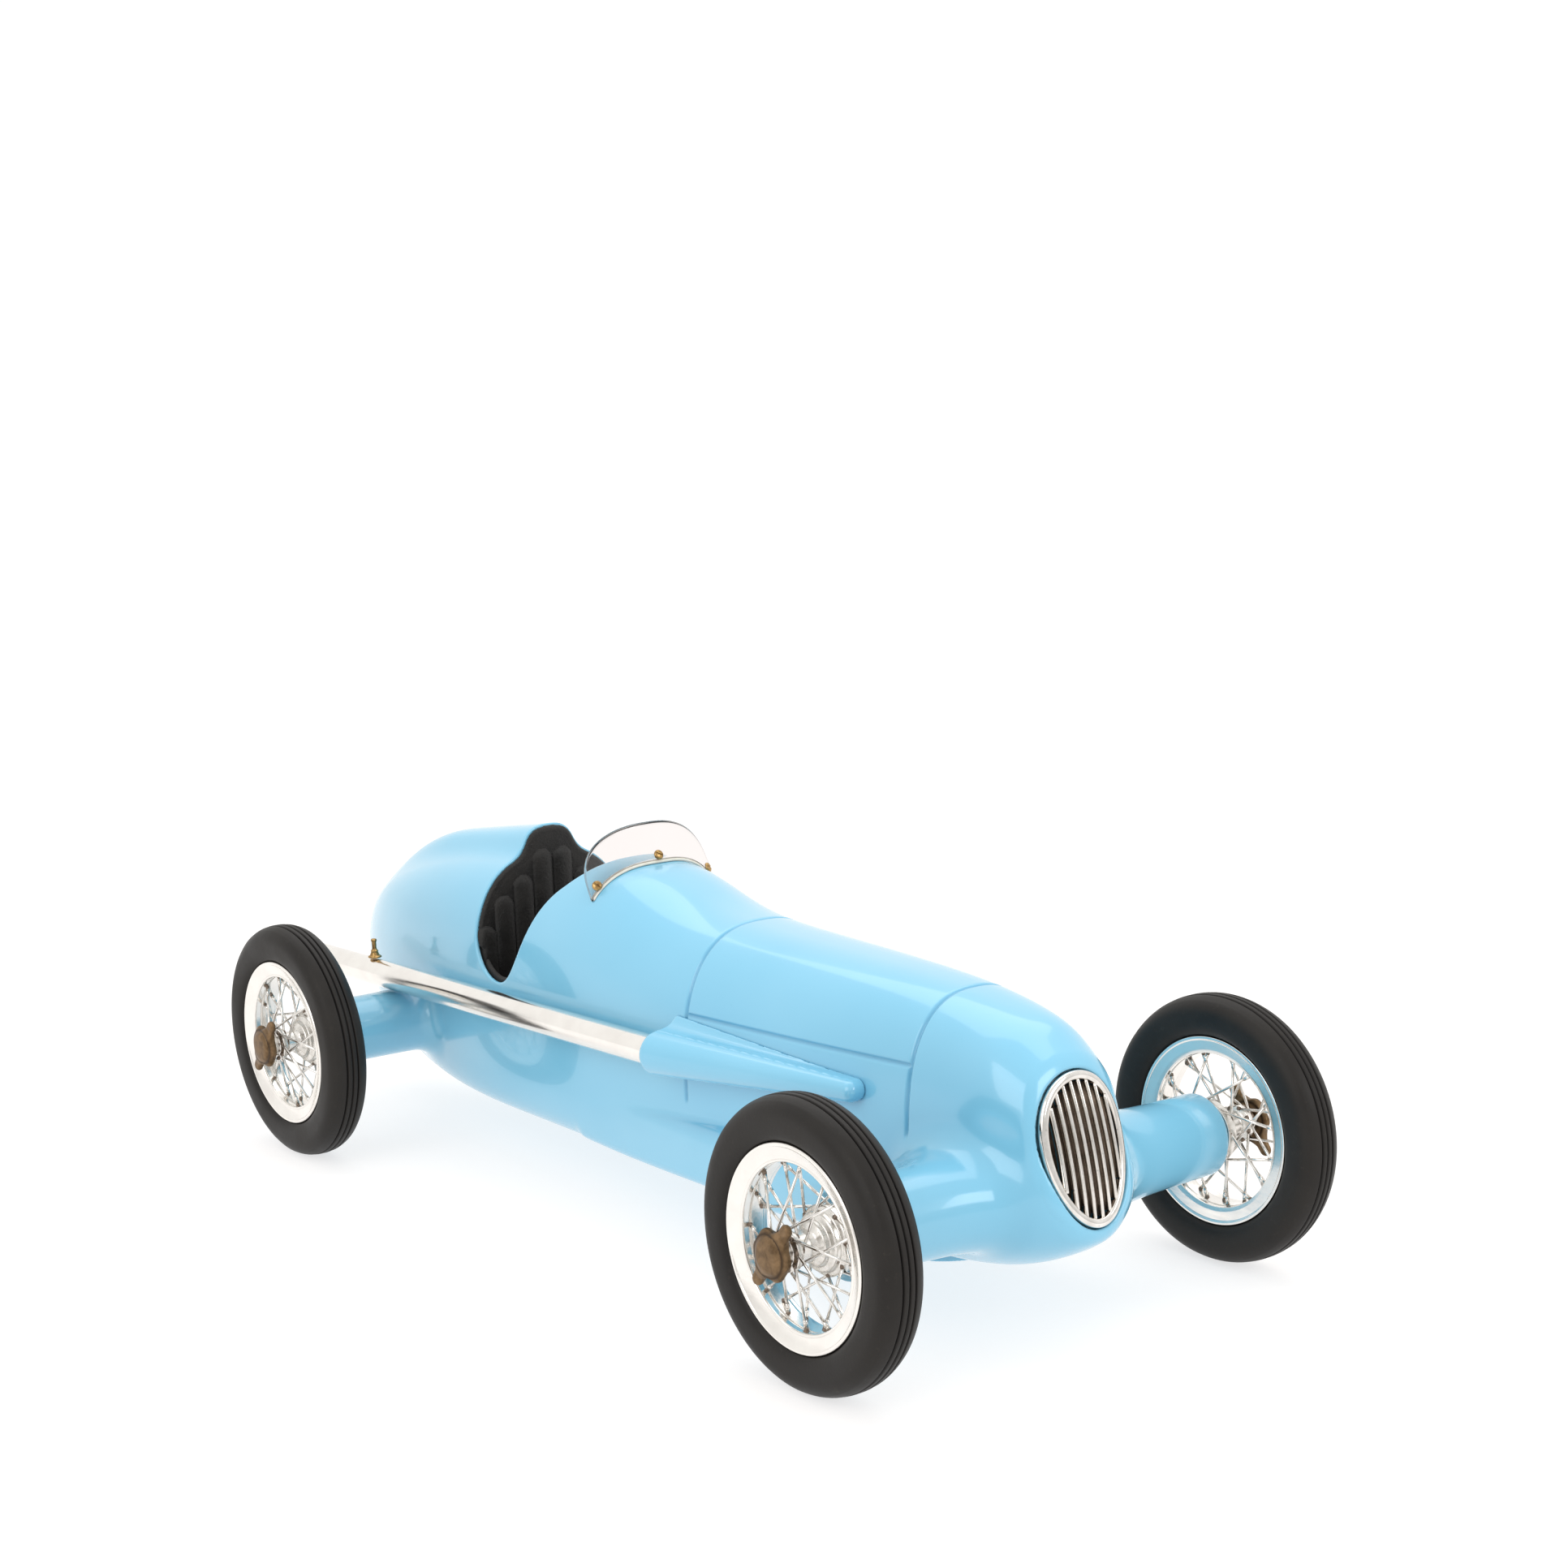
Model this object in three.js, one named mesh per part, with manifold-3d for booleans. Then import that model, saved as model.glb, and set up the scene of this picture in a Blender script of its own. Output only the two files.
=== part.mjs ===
// Tabletop model of a streamlined 1930s racing car: moulded body with axle fairings, wire wheels that
// spin on two fixed axles, oval grille, aero screen, fluted seat and a side exhaust.
// Millimetres. +X is forward, +Y is the car's left, +Z is up. The origin is on the ground, midway along
// the car on its centre plane.
import * as THREE from 'three';
import { mergeVertices } from 'three/addons/utils/BufferGeometryUtils.js';
import Module from 'manifold-3d';

const wasm = await Module();
wasm.setup();

// ---- Overall sizes ----
const WHEELBASE = 213.3;
const TRACK = 115.2; // between the tyres' middle planes
const TAIL_LENGTH = 58; // body behind the rear axle
const NOSE_LENGTH = 16.7; // front axle to the middle of the grille face
const BODY_WIDTH = 48;
const BODY_HEIGHT = 69; // belly to the top of the cowl
const GROUND_CLEARANCE = 11;

// ---- Wheels ----
const TYRE_RADIUS = 30;
const TYRE_WIDTH = 10.6;
const RIM_RADIUS = 21.1; // polished flange, outer edge
const RIM_OUTBOARD = 4.6; // flange edges, each side of the tyre's middle plane
const RIM_INBOARD = 3.8;
const WELL_RADIUS = 16.9; // bottom of the dish, where the spokes enter
const WELL_WIDTH = 3.4;
const RIM_WALL = 0.9;
const SPOKE_COUNT = 32;
const SPOKE_RADIUS = 0.42;
const SPOKE_PASSING = 0.75; // crossing spokes stand apart by this on each side of their flange
const SPOKE_BAND = 0.8; // thickness of the nipple band inside the well
const HUB_DRUM_RADIUS = 7.3; // inner flange
const HUB_FLANGE_RADIUS = 3.9; // outer flange
const HUB_BARREL_RADIUS = 2.9;
const HUB_INNER_OFFSET = 5.6; // hub's inner face, inboard of the tyre's middle plane
const HUB_OUTER_OFFSET = 7.9;
const KNOCK_OFF_FACE_OFFSET = 10.9;
const KNOCK_OFF_BOSS_RADIUS = 4.1;
const KNOCK_OFF_SKIRT_RADIUS = 5.8;
const KNOCK_OFF_EAR_REACH = 8.2;
const KNOCK_OFF_EAR_WIDTH = 3.4;
const KNOCK_OFF_EAR_THICKNESS = 1.3;
const KNOCK_OFF_EAR_ANGLE = THREE.MathUtils.degToRad(52);

// ---- Axles and their fairings ----
const AXLE_RADIUS = 1.5;
const AXLE_RUNNING_GAP = 0.25;
const COLLAR_RADIUS = 3.3;
const COLLAR_LENGTH = 1.6;
const FRONT_TUBE_RADIUS = 9.3;
const REAR_TUBE_RADIUS = 8.4;
const FRONT_ROOT_AHEAD = 17.5; // reach of the front fairing's root, ahead of and behind the axle
const FRONT_ROOT_BEHIND = 34;
const FRONT_ROOT_HALF_HEIGHT = 12.2;
const REAR_ROOT_REACH = 12.5;
const FRONT_ROOT_SIDE = 11; // where each root begins to narrow, from the middle plane
const REAR_ROOT_SIDE = 19;

// ---- Nose and grille ----
const GRILLE_HEIGHT = 32; // chrome ring, outside, along the leaning face
const GRILLE_WIDTH = 21.8;
const GRILLE_CENTRE_HEIGHT = 30; // above the belly
const GRILLE_LEAN = 0.28; // backward run for each unit of rise
const GRILLE_BOW = 0.009; // the face bows back by this times y squared
const GRILLE_RING_WIDTH = 1.9;
const GRILLE_RING_PROUD = 0.9;
const GRILLE_RING_DEPTH = 2.6;
const GRILLE_PLATE = 1.2;
const GRILLE_BAR_COUNT = 8;
const GRILLE_BAR_WIDTH = 1.05;
const GRILLE_BAR_DEPTH = 2.4;

// ---- Cockpit ----
const COCKPIT_REAR = 34.5; // seat back plane, ahead of the rear axle
const COCKPIT_LIP = 42.5; // length of the opening along the centre line
const COCKPIT_SILL = 36.4; // lowest point of the side cut-out, above the belly
const COCKPIT_SILL_RUN = 10.5; // from the seat back to the lowest point of the cut-out
const COCKPIT_FLOOR = 16; // above the belly
const COCKPIT_FOOTWELL = 54; // pocket length, under the cowl
const COCKPIT_WALL = 1.2;
const SEAT_BACK_RECESS = 3.6; // how far the seat back sits behind the rim of the opening
const LINER_WALL = 1.2;
const SEAT_BACK_THICKNESS = 5.6;
const SEAT_CUSHION_HEIGHT = 9;
const SEAT_CUSHION_LENGTH = 24;
const SEAT_CUSHION_WIDTH = 34;
const HEADREST_HALF_WIDTH = 8.8;
const HEADREST_DEPTH = 13.8; // from the headrest's crest down into the body
const HEADREST_RISE = 72.3; // top of the headrest fairing, above the belly

// ---- Aero screen ----
const SCREEN_BASE = 84.3; // centre of its lower edge, ahead of the rear axle
const SCREEN_TOP = 78; // above the belly
const SCREEN_HALF_WIDTH = 17.9;
const SCREEN_LEAN = 0.52;
const SCREEN_WRAP = 0.021; // runs back by this times y squared
const SCREEN_THICKNESS = 0.9;
const SCREEN_SIDE_HEIGHT = 3;
const SCREW_SPREAD = 16.2;
const SCREW_LIFT = 1.5; // screw centres above the lower edge
const SCREW_HEAD_RADIUS = 1.35;
const SCREW_HEAD_HEIGHT = 0.9;
const SCREW_SHANK_RADIUS = 0.55;
const SCREW_LENGTH = 2.4;

// ---- Exhaust, on the right side only ----
const PIPE_RADIUS = 3.55;
const PIPE_BEHIND = 50; // behind the rear axle
const PIPE_SIDE_GAP = 2.2; // body's widest side to the pipe
const PIPE_SPLAY = 0.016; // outward run for each unit rearward
const PIPE_SLOPE = 0.018;
const FAIRING_REAR = 120.5;
const FAIRING_LENGTH = 64;
const FAIRING_REAR_RADIUS = 5.2;
const FAIRING_TIP_RADIUS = 2.4;
const FAIRING_TIP_RISE = 2.6;
const FAIRING_ROOT = 5; // extra reach toward the body, cut off at its side
const FAIRING_SOCKET = 6; // depth the pipe may enter, less its end gap
const PIN_BEHIND = 7; // brass pin, behind the rear axle
const PIN_RADIUS = 0.75;
const PIN_HEIGHT = 5;
const PIN_BASE_RADIUS = 2;
const PIN_BASE_HEIGHT = 1.7;

// ---- Underside ----
const PAN_HALF_WIDTH = 15.5;
const PAN_THICKNESS = 2;
const PAN_REAR = 58; // ahead of the rear axle
const PAN_LENGTH = 144;
const BAY_INSET = 5; // hollow's margin inside the pan's edge
const BAY_HEIGHT = 46; // roof of the hollow under the hood, above the belly
const PAN_SCREW_INSET = 6; // from each end of the pan
const PAN_SCREW_RADIUS = 1.7;
const PAN_SCREW_HEIGHT = 1.2;
const PAN_SCREW_SHANK = 0.8;
const PAN_SCREW_DEPTH = 5;

// ---- Fits and facets ----
const GAP = 0.3; // between pieces that touch
const OVERCUT = 6; // how far a cutting tool runs past what it cuts
const ROUND = 32;
const SMALL_ROUND = 12;

// ---- Places worked out from the sizes ----
const REAR_X = (TAIL_LENGTH - WHEELBASE - TYRE_RADIUS) / 2;
const FRONT_X = REAR_X + WHEELBASE;
const BELLY_Z = GROUND_CLEARANCE;
const AXLE_Z = TYRE_RADIUS;
const TUBE_END_Y = TRACK / 2 - HUB_INNER_OFFSET - COLLAR_LENGTH - 2 * GAP;
const GRILLE_Z = BELLY_Z + GRILLE_CENTRE_HEIGHT;
const FACE_X = FRONT_X + NOSE_LENGTH;

const PAINT = { color: 0x9fd6f0, roughness: 0.2, metalness: 0 };
const CHROME = { color: 0xdedede, roughness: 0.12, metalness: 1 };
const POLISHED = { color: 0xd8d6d2, roughness: 0.2, metalness: 1 };
const BLACK_RUBBER = { color: 0x2c2a28, roughness: 0.75, metalness: 0 };
const BRASS = { color: 0xc8a050, roughness: 0.35, metalness: 1 };
const BRONZE = { color: 0x78603f, roughness: 0.5, metalness: 1 };
const UPHOLSTERY = { color: 0x201e1c, roughness: 0.8, metalness: 0 };
const CLEAR = { color: 0xf4f4f0, roughness: 0.05, metalness: 0, transparent: true, opacity: 0.35 };

const car = new THREE.Group();

// ---- Geometry helpers ----

// Bare position geometry with shared vertices, as a closed solid.
function solid(geometry) {
  const bare = geometry.index ? geometry.toNonIndexed() : geometry.clone();
  bare.deleteAttribute('normal');
  bare.deleteAttribute('uv');
  const merged = mergeVertices(bare, 1e-4);
  return new wasm.Manifold(new wasm.Mesh({
    numProp: 3,
    vertProperties: new Float32Array(merged.attributes.position.array),
    triVerts: new Uint32Array(merged.index.array),
  }));
}

function fromSolid(body) {
  const mesh = body.getMesh();
  const geometry = new THREE.BufferGeometry();
  geometry.setAttribute('position', new THREE.BufferAttribute(new Float32Array(mesh.vertProperties), 3));
  geometry.setIndex(new THREE.BufferAttribute(new Uint32Array(mesh.triVerts), 1));
  geometry.computeVertexNormals();
  return geometry;
}

// Closed skin through rings of equal point count, with fan caps at both ends.
function loft(rings) {
  const count = rings[0].length;
  const positions = rings.flat().flatMap((p) => [p.x, p.y, p.z]);
  const index = [];
  for (let i = 0; i < rings.length - 1; i += 1) {
    for (let j = 0; j < count; j += 1) {
      const a = i * count + j;
      const b = i * count + (j + 1) % count;
      index.push(a, b, a + count, b, b + count, a + count);
    }
  }
  [[0, -1], [rings.length - 1, 1]].forEach(([ring, side]) => {
    const centre = new THREE.Vector3();
    rings[ring].forEach((p) => centre.addScaledVector(p, 1 / count));
    const hub = positions.length / 3;
    positions.push(centre.x, centre.y, centre.z);
    for (let j = 0; j < count; j += 1) {
      const a = ring * count + j;
      const b = ring * count + (j + 1) % count;
      index.push(...(side < 0 ? [hub, b, a] : [hub, a, b]));
    }
  });
  const geometry = new THREE.BufferGeometry();
  geometry.setAttribute('position', new THREE.Float32BufferAttribute(positions, 3));
  geometry.setIndex(index);
  return geometry;
}

function add(name, geometry, finish, place = {}) {
  const mesh = new THREE.Mesh(geometry, new THREE.MeshStandardMaterial(finish));
  mesh.name = name;
  mesh.position.set(...(place.position ?? [0, 0, 0]));
  mesh.rotation.set(...(place.rotation ?? [0, 0, 0]));
  (place.parent ?? car).add(mesh);
  return mesh;
}

// Round bar along Y between two y values.
function barAlongY(radius, x, z, y0, y1) {
  const bar = new THREE.CylinderGeometry(radius, radius, y1 - y0, SMALL_ROUND);
  return bar.translate(x, (y0 + y1) / 2, z);
}

// Round bar along Z on the centre plane, between two heights.
function barAlongZ(radius, x, z0, z1) {
  return new THREE.CylinderGeometry(radius, radius, z1 - z0, SMALL_ROUND)
    .rotateX(Math.PI / 2)
    .translate(x, 0, (z0 + z1) / 2);
}

function boxBetween(low, high) {
  const size = high.map((value, axis) => value - low[axis]);
  const middle = high.map((value, axis) => (value + low[axis]) / 2);
  return new THREE.BoxGeometry(...size).translate(...middle);
}

const power = (value, exponent) => Math.sign(value) * Math.abs(value) ** exponent;

// ---- Body form ----

// Stations from tail to nose. x is where it stands; top, waist and belly are shares of the body's
// height and half is a share of its half width; square is the lower exponent, which flattens the
// belly; face is how far the station leans with the grille.
const tailX = (share) => REAR_X - share * TAIL_LENGTH;
const midX = (share) => REAR_X + share * WHEELBASE;
const noseX = (share) => FRONT_X + share * NOSE_LENGTH;
const station = (x, top, waist, belly, half, square, face = 0) => ({
  x, top, waist, belly, half, square, face,
});
const STATIONS = [
  station(tailX(1.0), 0.395, 0.37, 0.345, 0.02, 2),
  station(tailX(0.985), 0.455, 0.372, 0.29, 0.12, 2),
  station(tailX(0.93), 0.545, 0.38, 0.22, 0.26, 2.1),
  station(tailX(0.8), 0.66, 0.39, 0.15, 0.43, 2.3),
  station(tailX(0.6), 0.755, 0.41, 0.09, 0.61, 2.6),
  station(tailX(0.32), 0.84, 0.435, 0.04, 0.78, 3.2),
  station(tailX(0), 0.9, 0.478, 0.014, 0.9, 4.2),
  station(midX(0.08), 0.935, 0.514, 0.003, 0.967, 5),
  station(midX(0.16), 0.957, 0.536, 0, 0.996, 5.5),
  station(midX(0.25), 0.983, 0.536, 0, 1, 5.5),
  station(midX(0.33), 1, 0.522, 0, 1, 5.5),
  station(midX(0.395), 0.997, 0.507, 0, 0.992, 5.5),
  station(midX(0.45), 0.957, 0.478, 0, 0.975, 5.5),
  station(midX(0.51), 0.907, 0.449, 0, 0.958, 5.5),
  station(midX(0.58), 0.878, 0.435, 0, 0.942, 5.5),
  station(midX(0.7), 0.868, 0.42, 0, 0.908, 5.2),
  station(midX(0.82), 0.858, 0.42, 0, 0.85, 4.6),
  station(midX(0.92), 0.84, 0.43, 0.006, 0.775, 3.8),
  station(noseX(0), 0.796, 0.44, 0.035, 0.715, 3.1, 0.08),
  station(noseX(0.5), 0.748, 0.46, 0.092, 0.64, 2.6, 0.45),
  station(noseX(0.85), 0.708, 0.475, 0.148, 0.565, 2.4, 0.85),
  station(noseX(1), 0.686, 0.48, 0.18, 0.51, 2.3, 1),
];
const TOP_SQUARE = 2.5;
const STATION_STEPS = 2;
const RING_POINTS = 36;
const OVAL_POINTS = 24;
const HEADREST_SQUARE = 2.6;
const SHELF_SQUARE = 2.8;

// Catmull-Rom blend of every value of the stations, at a place counted in stations.
function stationAt(place) {
  const last = STATIONS.length - 1;
  const i = Math.min(Math.floor(place), last - 1);
  const t = place - i;
  const [a, b, c, d] = [i - 1, i, i + 1, i + 2].map((k) => STATIONS[THREE.MathUtils.clamp(k, 0, last)]);
  const blend = (key) => {
    const before = (c[key] - a[key]) / 2;
    const after = (d[key] - b[key]) / 2;
    const bend = 2 * (b[key] - c[key]) + before + after;
    return b[key] + t * before + t * t * (c[key] - b[key] - before - bend) + t * t * t * bend;
  };
  return Object.fromEntries(Object.keys(b).map((key) => [key, blend(key)]));
}

// Place, counted in stations, of the cross-section at x.
function placeOf(x) {
  let low = 0;
  let high = STATIONS.length - 1;
  for (let i = 0; i < 40; i += 1) {
    const middle = (low + high) / 2;
    if (stationAt(middle).x < x) low = middle;
    else high = middle;
  }
  return low;
}

// How far the face runs back at a point of the nose.
const faceRunBack = (y, z) => GRILLE_LEAN * (z - GRILLE_Z) + GRILLE_BOW * y * y;

// One ring of the body, shrunk on all sides by inset, with an optional floor.
function bodyRing(place, inset = 0, floorZ = -Infinity) {
  const s = stationAt(place);
  const waistZ = BELLY_Z + s.waist * BODY_HEIGHT;
  const rise = s.top * BODY_HEIGHT + BELLY_Z - waistZ - inset;
  const drop = waistZ - BELLY_Z - s.belly * BODY_HEIGHT - inset;
  const half = s.half * BODY_WIDTH / 2 - inset;
  return Array.from({ length: RING_POINTS }, (_, k) => {
    const angle = 2 * Math.PI * k / RING_POINTS;
    const square = 2 / (Math.sin(angle) >= 0 ? TOP_SQUARE : s.square);
    const y = half * power(Math.cos(angle), square);
    const reach = Math.sin(angle) >= 0 ? rise : drop;
    const z = Math.max(waistZ + reach * power(Math.sin(angle), square), floorZ);
    return new THREE.Vector3(s.x - s.face * faceRunBack(y, z), y, z);
  });
}

function bodyForm(inset = 0) {
  const steps = (STATIONS.length - 1) * STATION_STEPS;
  return solid(loft(Array.from({ length: steps + 1 }, (_, k) => bodyRing(k / STATION_STEPS, inset))));
}

// Height of the body's upper surface at x and y.
function roofZ(x, y) {
  const s = stationAt(placeOf(x));
  const share = Math.min(Math.abs(y) / (s.half * BODY_WIDTH / 2), 1);
  const rise = (1 - share ** TOP_SQUARE) ** (1 / TOP_SQUARE);
  return BELLY_Z + BODY_HEIGHT * (s.waist + (s.top - s.waist) * rise);
}

// Low spine behind the driver's head, running down into the tail.
function headrestFairing(inset = 0) {
  const crest = new THREE.CatmullRomCurve3([
    new THREE.Vector3(tailX(0.84), 0.65, 0.42),
    new THREE.Vector3(tailX(0.62), 0.78, 0.68),
    new THREE.Vector3(tailX(0.4), 0.877, 0.83),
    new THREE.Vector3(tailX(0.15), 0.949, 0.93),
    new THREE.Vector3(midX(0.02), 0.98, 0.98),
    new THREE.Vector3(REAR_X + COCKPIT_REAR, HEADREST_RISE / BODY_HEIGHT, 1),
  ]);
  return solid(loft(crest.getPoints(12).map(({ x, y: top, z: half }) => {
    const topZ = BELLY_Z + top * BODY_HEIGHT - inset;
    return Array.from({ length: OVAL_POINTS }, (_, k) => {
      const angle = 2 * Math.PI * k / OVAL_POINTS;
      const y = (half * HEADREST_HALF_WIDTH - inset) * power(Math.cos(angle), 2 / HEADREST_SQUARE);
      const z = topZ + HEADREST_DEPTH * (power(Math.sin(angle), 2 / HEADREST_SQUARE) - 1);
      return new THREE.Vector3(x, y, z);
    });
  })));
}

// The headrest fairing's inside, inset by its wall, from x0 to x1.
function headrestInside(inset, x0, x1) {
  const span = boxBetween(
    [x0, -BODY_WIDTH, BELLY_Z + BODY_HEIGHT / 2],
    [x1, BODY_WIDTH, BELLY_Z + 2 * BODY_HEIGHT],
  );
  return headrestFairing(inset).translate([SEAT_BACK_THICKNESS, 0, 0]).intersect(solid(span));
}

// Fairing over one axle, both sides in one piece: oval at the middle of the car, round at its ends.
function axleFairing(x, { radius, rootAhead, rootBehind, rootHeight, rootY }) {
  const blend = [
    [0, 1],
    [rootY, 1],
    [rootY + 4, 0.62],
    [rootY + 9, 0.3],
    [rootY + 16, 0.1],
    [TUBE_END_Y - 1, 0],
  ];
  const halves = [...blend.map(([y, flare]) => [-y, flare]).reverse(), ...blend.slice(1)];
  const ends = [[-TUBE_END_Y, 0, 1], ...halves.map(([y, flare]) => [y, flare, 0]), [TUBE_END_Y, 0, 1]];
  return solid(loft(ends.map(([y, flare, edge]) => {
    const height = radius - edge + flare * (rootHeight - radius);
    return Array.from({ length: OVAL_POINTS }, (_, k) => {
      const angle = 2 * Math.PI * k / OVAL_POINTS;
      const root = Math.sin(angle) > 0 ? rootAhead : rootBehind;
      const chord = radius - edge + flare * (root - radius);
      return new THREE.Vector3(x + chord * Math.sin(angle), y, AXLE_Z + height * Math.cos(angle));
    });
  })));
}

// Long low shelf along each flank that widens forward into the front fairing.
function flankShelf() {
  const runs = [[0.34, 0.9], [0.46, 0.99], [0.64, 1.09], [0.8, 1.2], [0.9, 1.32], [0.97, 1.4]];
  const shelfMiddle = BELLY_Z + 0.13 * BODY_HEIGHT;
  const rings = runs.map(([share, half], run) => {
    const height = 0.135 * BODY_HEIGHT * (1 + 0.1 * run);
    const underZ = BELLY_Z + (0.01 + 0.02 * run) * BODY_HEIGHT;
    return Array.from({ length: OVAL_POINTS }, (_, k) => {
      const angle = 2 * Math.PI * k / OVAL_POINTS;
      const y = half * BODY_WIDTH / 2 * power(Math.cos(angle), 2 / SHELF_SQUARE);
      const z = shelfMiddle + height * power(Math.sin(angle), 2 / SHELF_SQUARE);
      return new THREE.Vector3(midX(share), y, Math.max(z, underZ));
    });
  });
  return solid(loft(rings));
}

// Side outline of the cockpit opening, cut straight across the car. lift raises the sill.
function cockpitCut(lift = 0) {
  const sillZ = BELLY_Z + COCKPIT_SILL + lift;
  const rearX = REAR_X + COCKPIT_REAR;
  const overZ = BELLY_Z + BODY_HEIGHT + 3 * OVERCUT;
  const frontX = rearX + COCKPIT_LIP;
  const lowX = rearX + COCKPIT_SILL_RUN;
  const edgeZ = BELLY_Z + BODY_HEIGHT;
  const shape = new THREE.Shape();
  shape.moveTo(rearX, overZ);
  shape.lineTo(rearX, sillZ + 13);
  shape.bezierCurveTo(rearX, sillZ + 5, lowX - 6, sillZ, lowX, sillZ);
  shape.bezierCurveTo(lowX + 9, sillZ, lowX + 12, edgeZ - 14, lowX + 22, edgeZ - 6);
  shape.quadraticCurveTo(frontX - 5, edgeZ - 1, frontX, edgeZ + 3);
  shape.lineTo(frontX, overZ);
  const tool = new THREE.ExtrudeGeometry(shape, {
    depth: BODY_WIDTH + 4 * OVERCUT, bevelEnabled: false, curveSegments: 7,
  });
  tool.translate(0, 0, -(BODY_WIDTH / 2 + 2 * OVERCUT)).rotateX(Math.PI / 2);
  return solid(tool);
}

// The cockpit's inside, a run of the body form inset by its wall, from x0 to x1.
function cockpitInside(inset, x0, x1, floorZ) {
  const first = placeOf(x0);
  const span = placeOf(x1) - first;
  const steps = 4;
  const places = Array.from({ length: steps + 1 }, (_, k) => first + span * k / steps);
  return solid(loft(places.map((place) => bodyRing(place, inset, floorZ))));
}

// ---- Nose face pieces, drawn flat and then bowed and leaned onto the nose ----

// Egg outline of the grille, wider above its middle, shrunk by inset.
function grilleOutline(inset) {
  const halfWidth = GRILLE_WIDTH / 2 - inset;
  const halfHeight = GRILLE_HEIGHT / 2 - inset;
  return Array.from({ length: RING_POINTS }, (_, k) => {
    const angle = 2 * Math.PI * k / RING_POINTS;
    const up = Math.sin(angle);
    return new THREE.Vector2(halfWidth * Math.cos(angle) * (1 + 0.1 * up), halfHeight * power(up, 0.93));
  });
}

// A flat extrusion: its x becomes the car's y, its y rises along the lean and its z points forward.
function ontoFace(shape, back, front, bevel = 0) {
  const geometry = new THREE.ExtrudeGeometry(shape, {
    depth: front - back - 2 * bevel, bevelEnabled: bevel > 0, bevelThickness: bevel, bevelSize: bevel,
    bevelOffset: -bevel, bevelSegments: 1, curveSegments: 1, steps: 1,
  });
  geometry.translate(0, 0, back + bevel);
  const rise = 1 / Math.hypot(1, GRILLE_LEAN);
  const position = geometry.attributes.position;
  for (let i = 0; i < position.count; i += 1) {
    const [across, up, forward] = [position.getX(i), position.getY(i), position.getZ(i)];
    position.setXYZ(
      i,
      FACE_X - GRILLE_LEAN * rise * up - GRILLE_BOW * across * across + rise * forward,
      across,
      GRILLE_Z + rise * up + GRILLE_LEAN * rise * forward,
    );
  }
  return solid(geometry);
}

function grillePieces() {
  const ring = new THREE.Shape(grilleOutline(0));
  ring.holes.push(new THREE.Path(grilleOutline(GRILLE_RING_WIDTH)));
  const surround = ontoFace(ring, GRILLE_RING_PROUD - GRILLE_RING_DEPTH, GRILLE_RING_PROUD, 0.4);
  const plateFront = GRILLE_RING_PROUD - GRILLE_RING_DEPTH - GAP;
  const plateInset = GRILLE_RING_WIDTH + GAP;
  const opening = new THREE.Shape(grilleOutline(plateInset));
  let insert = ontoFace(opening, plateFront - GRILLE_PLATE, plateFront);
  const inside = ontoFace(opening, plateFront - GRILLE_PLATE, OVERCUT);
  const pitch = (GRILLE_WIDTH - 2 * plateInset) / (GRILLE_BAR_COUNT + 0.6);
  for (let k = 0; k < GRILLE_BAR_COUNT; k += 1) {
    const middle = (k - (GRILLE_BAR_COUNT - 1) / 2) * pitch;
    const corners = [[-1, -1], [1, -1], [1, 1], [-1, 1]].map(([side, end]) => (
      new THREE.Vector2(middle + side * GRILLE_BAR_WIDTH / 2, end * GRILLE_HEIGHT)
    ));
    const bar = ontoFace(
      new THREE.Shape(corners), plateFront - GRILLE_PLATE / 2, plateFront + GRILLE_BAR_DEPTH,
    );
    insert = insert.add(bar.intersect(inside));
  }
  const recess = ontoFace(new THREE.Shape(grilleOutline(-GAP)), plateFront - GRILLE_PLATE - GAP, OVERCUT);
  return { surround, insert, recess };
}

// ---- Aero screen ----

// x of the screen's front surface over a point of the cowl.
const screenX = (y, z) => (
  REAR_X + SCREEN_BASE - SCREEN_LEAN * (z - BELLY_Z - BODY_HEIGHT) - SCREEN_WRAP * y * y
);

// Height of the screen's lower edge: it stands on the cowl with a gap.
function screenFootZ(y) {
  let z = BELLY_Z + BODY_HEIGHT;
  for (let i = 0; i < 6; i += 1) {
    z = Math.max(roofZ(screenX(y, z), y), roofZ(screenX(y, z) - SCREEN_THICKNESS, y)) + GAP;
  }
  return z;
}

function screenSheet() {
  const columns = 18;
  const rows = 4;
  const sideZ = screenFootZ(SCREEN_HALF_WIDTH) + SCREEN_SIDE_HEIGHT;
  const rings = Array.from({ length: columns + 1 }, (_, i) => {
    const share = Math.sin(Math.PI * (i / columns - 0.5));
    const y = share * SCREEN_HALF_WIDTH;
    const foot = screenFootZ(y);
    const top = sideZ + (BELLY_Z + SCREEN_TOP - sideZ) * (1 - Math.abs(share) ** 2.3) ** (1 / 2.3);
    const heights = Array.from({ length: rows + 1 }, (__, j) => foot + (top - foot) * j / rows);
    const front = heights.map((z) => new THREE.Vector3(screenX(y, z), y, z));
    const back = heights.map((z) => new THREE.Vector3(screenX(y, z) - SCREEN_THICKNESS, y, z)).reverse();
    return [...front, ...back];
  });
  return solid(loft(rings.map((ring) => ring.reverse())));
}

// Frame of one screw: where its head meets the screen, and the direction the head faces.
function screwFrame(y) {
  const z = screenFootZ(y) + SCREW_LIFT;
  const facing = new THREE.Vector3(1, 2 * SCREEN_WRAP * y, SCREEN_LEAN).normalize();
  return { seat: new THREE.Vector3(screenX(y, z), y, z), facing };
}

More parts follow.
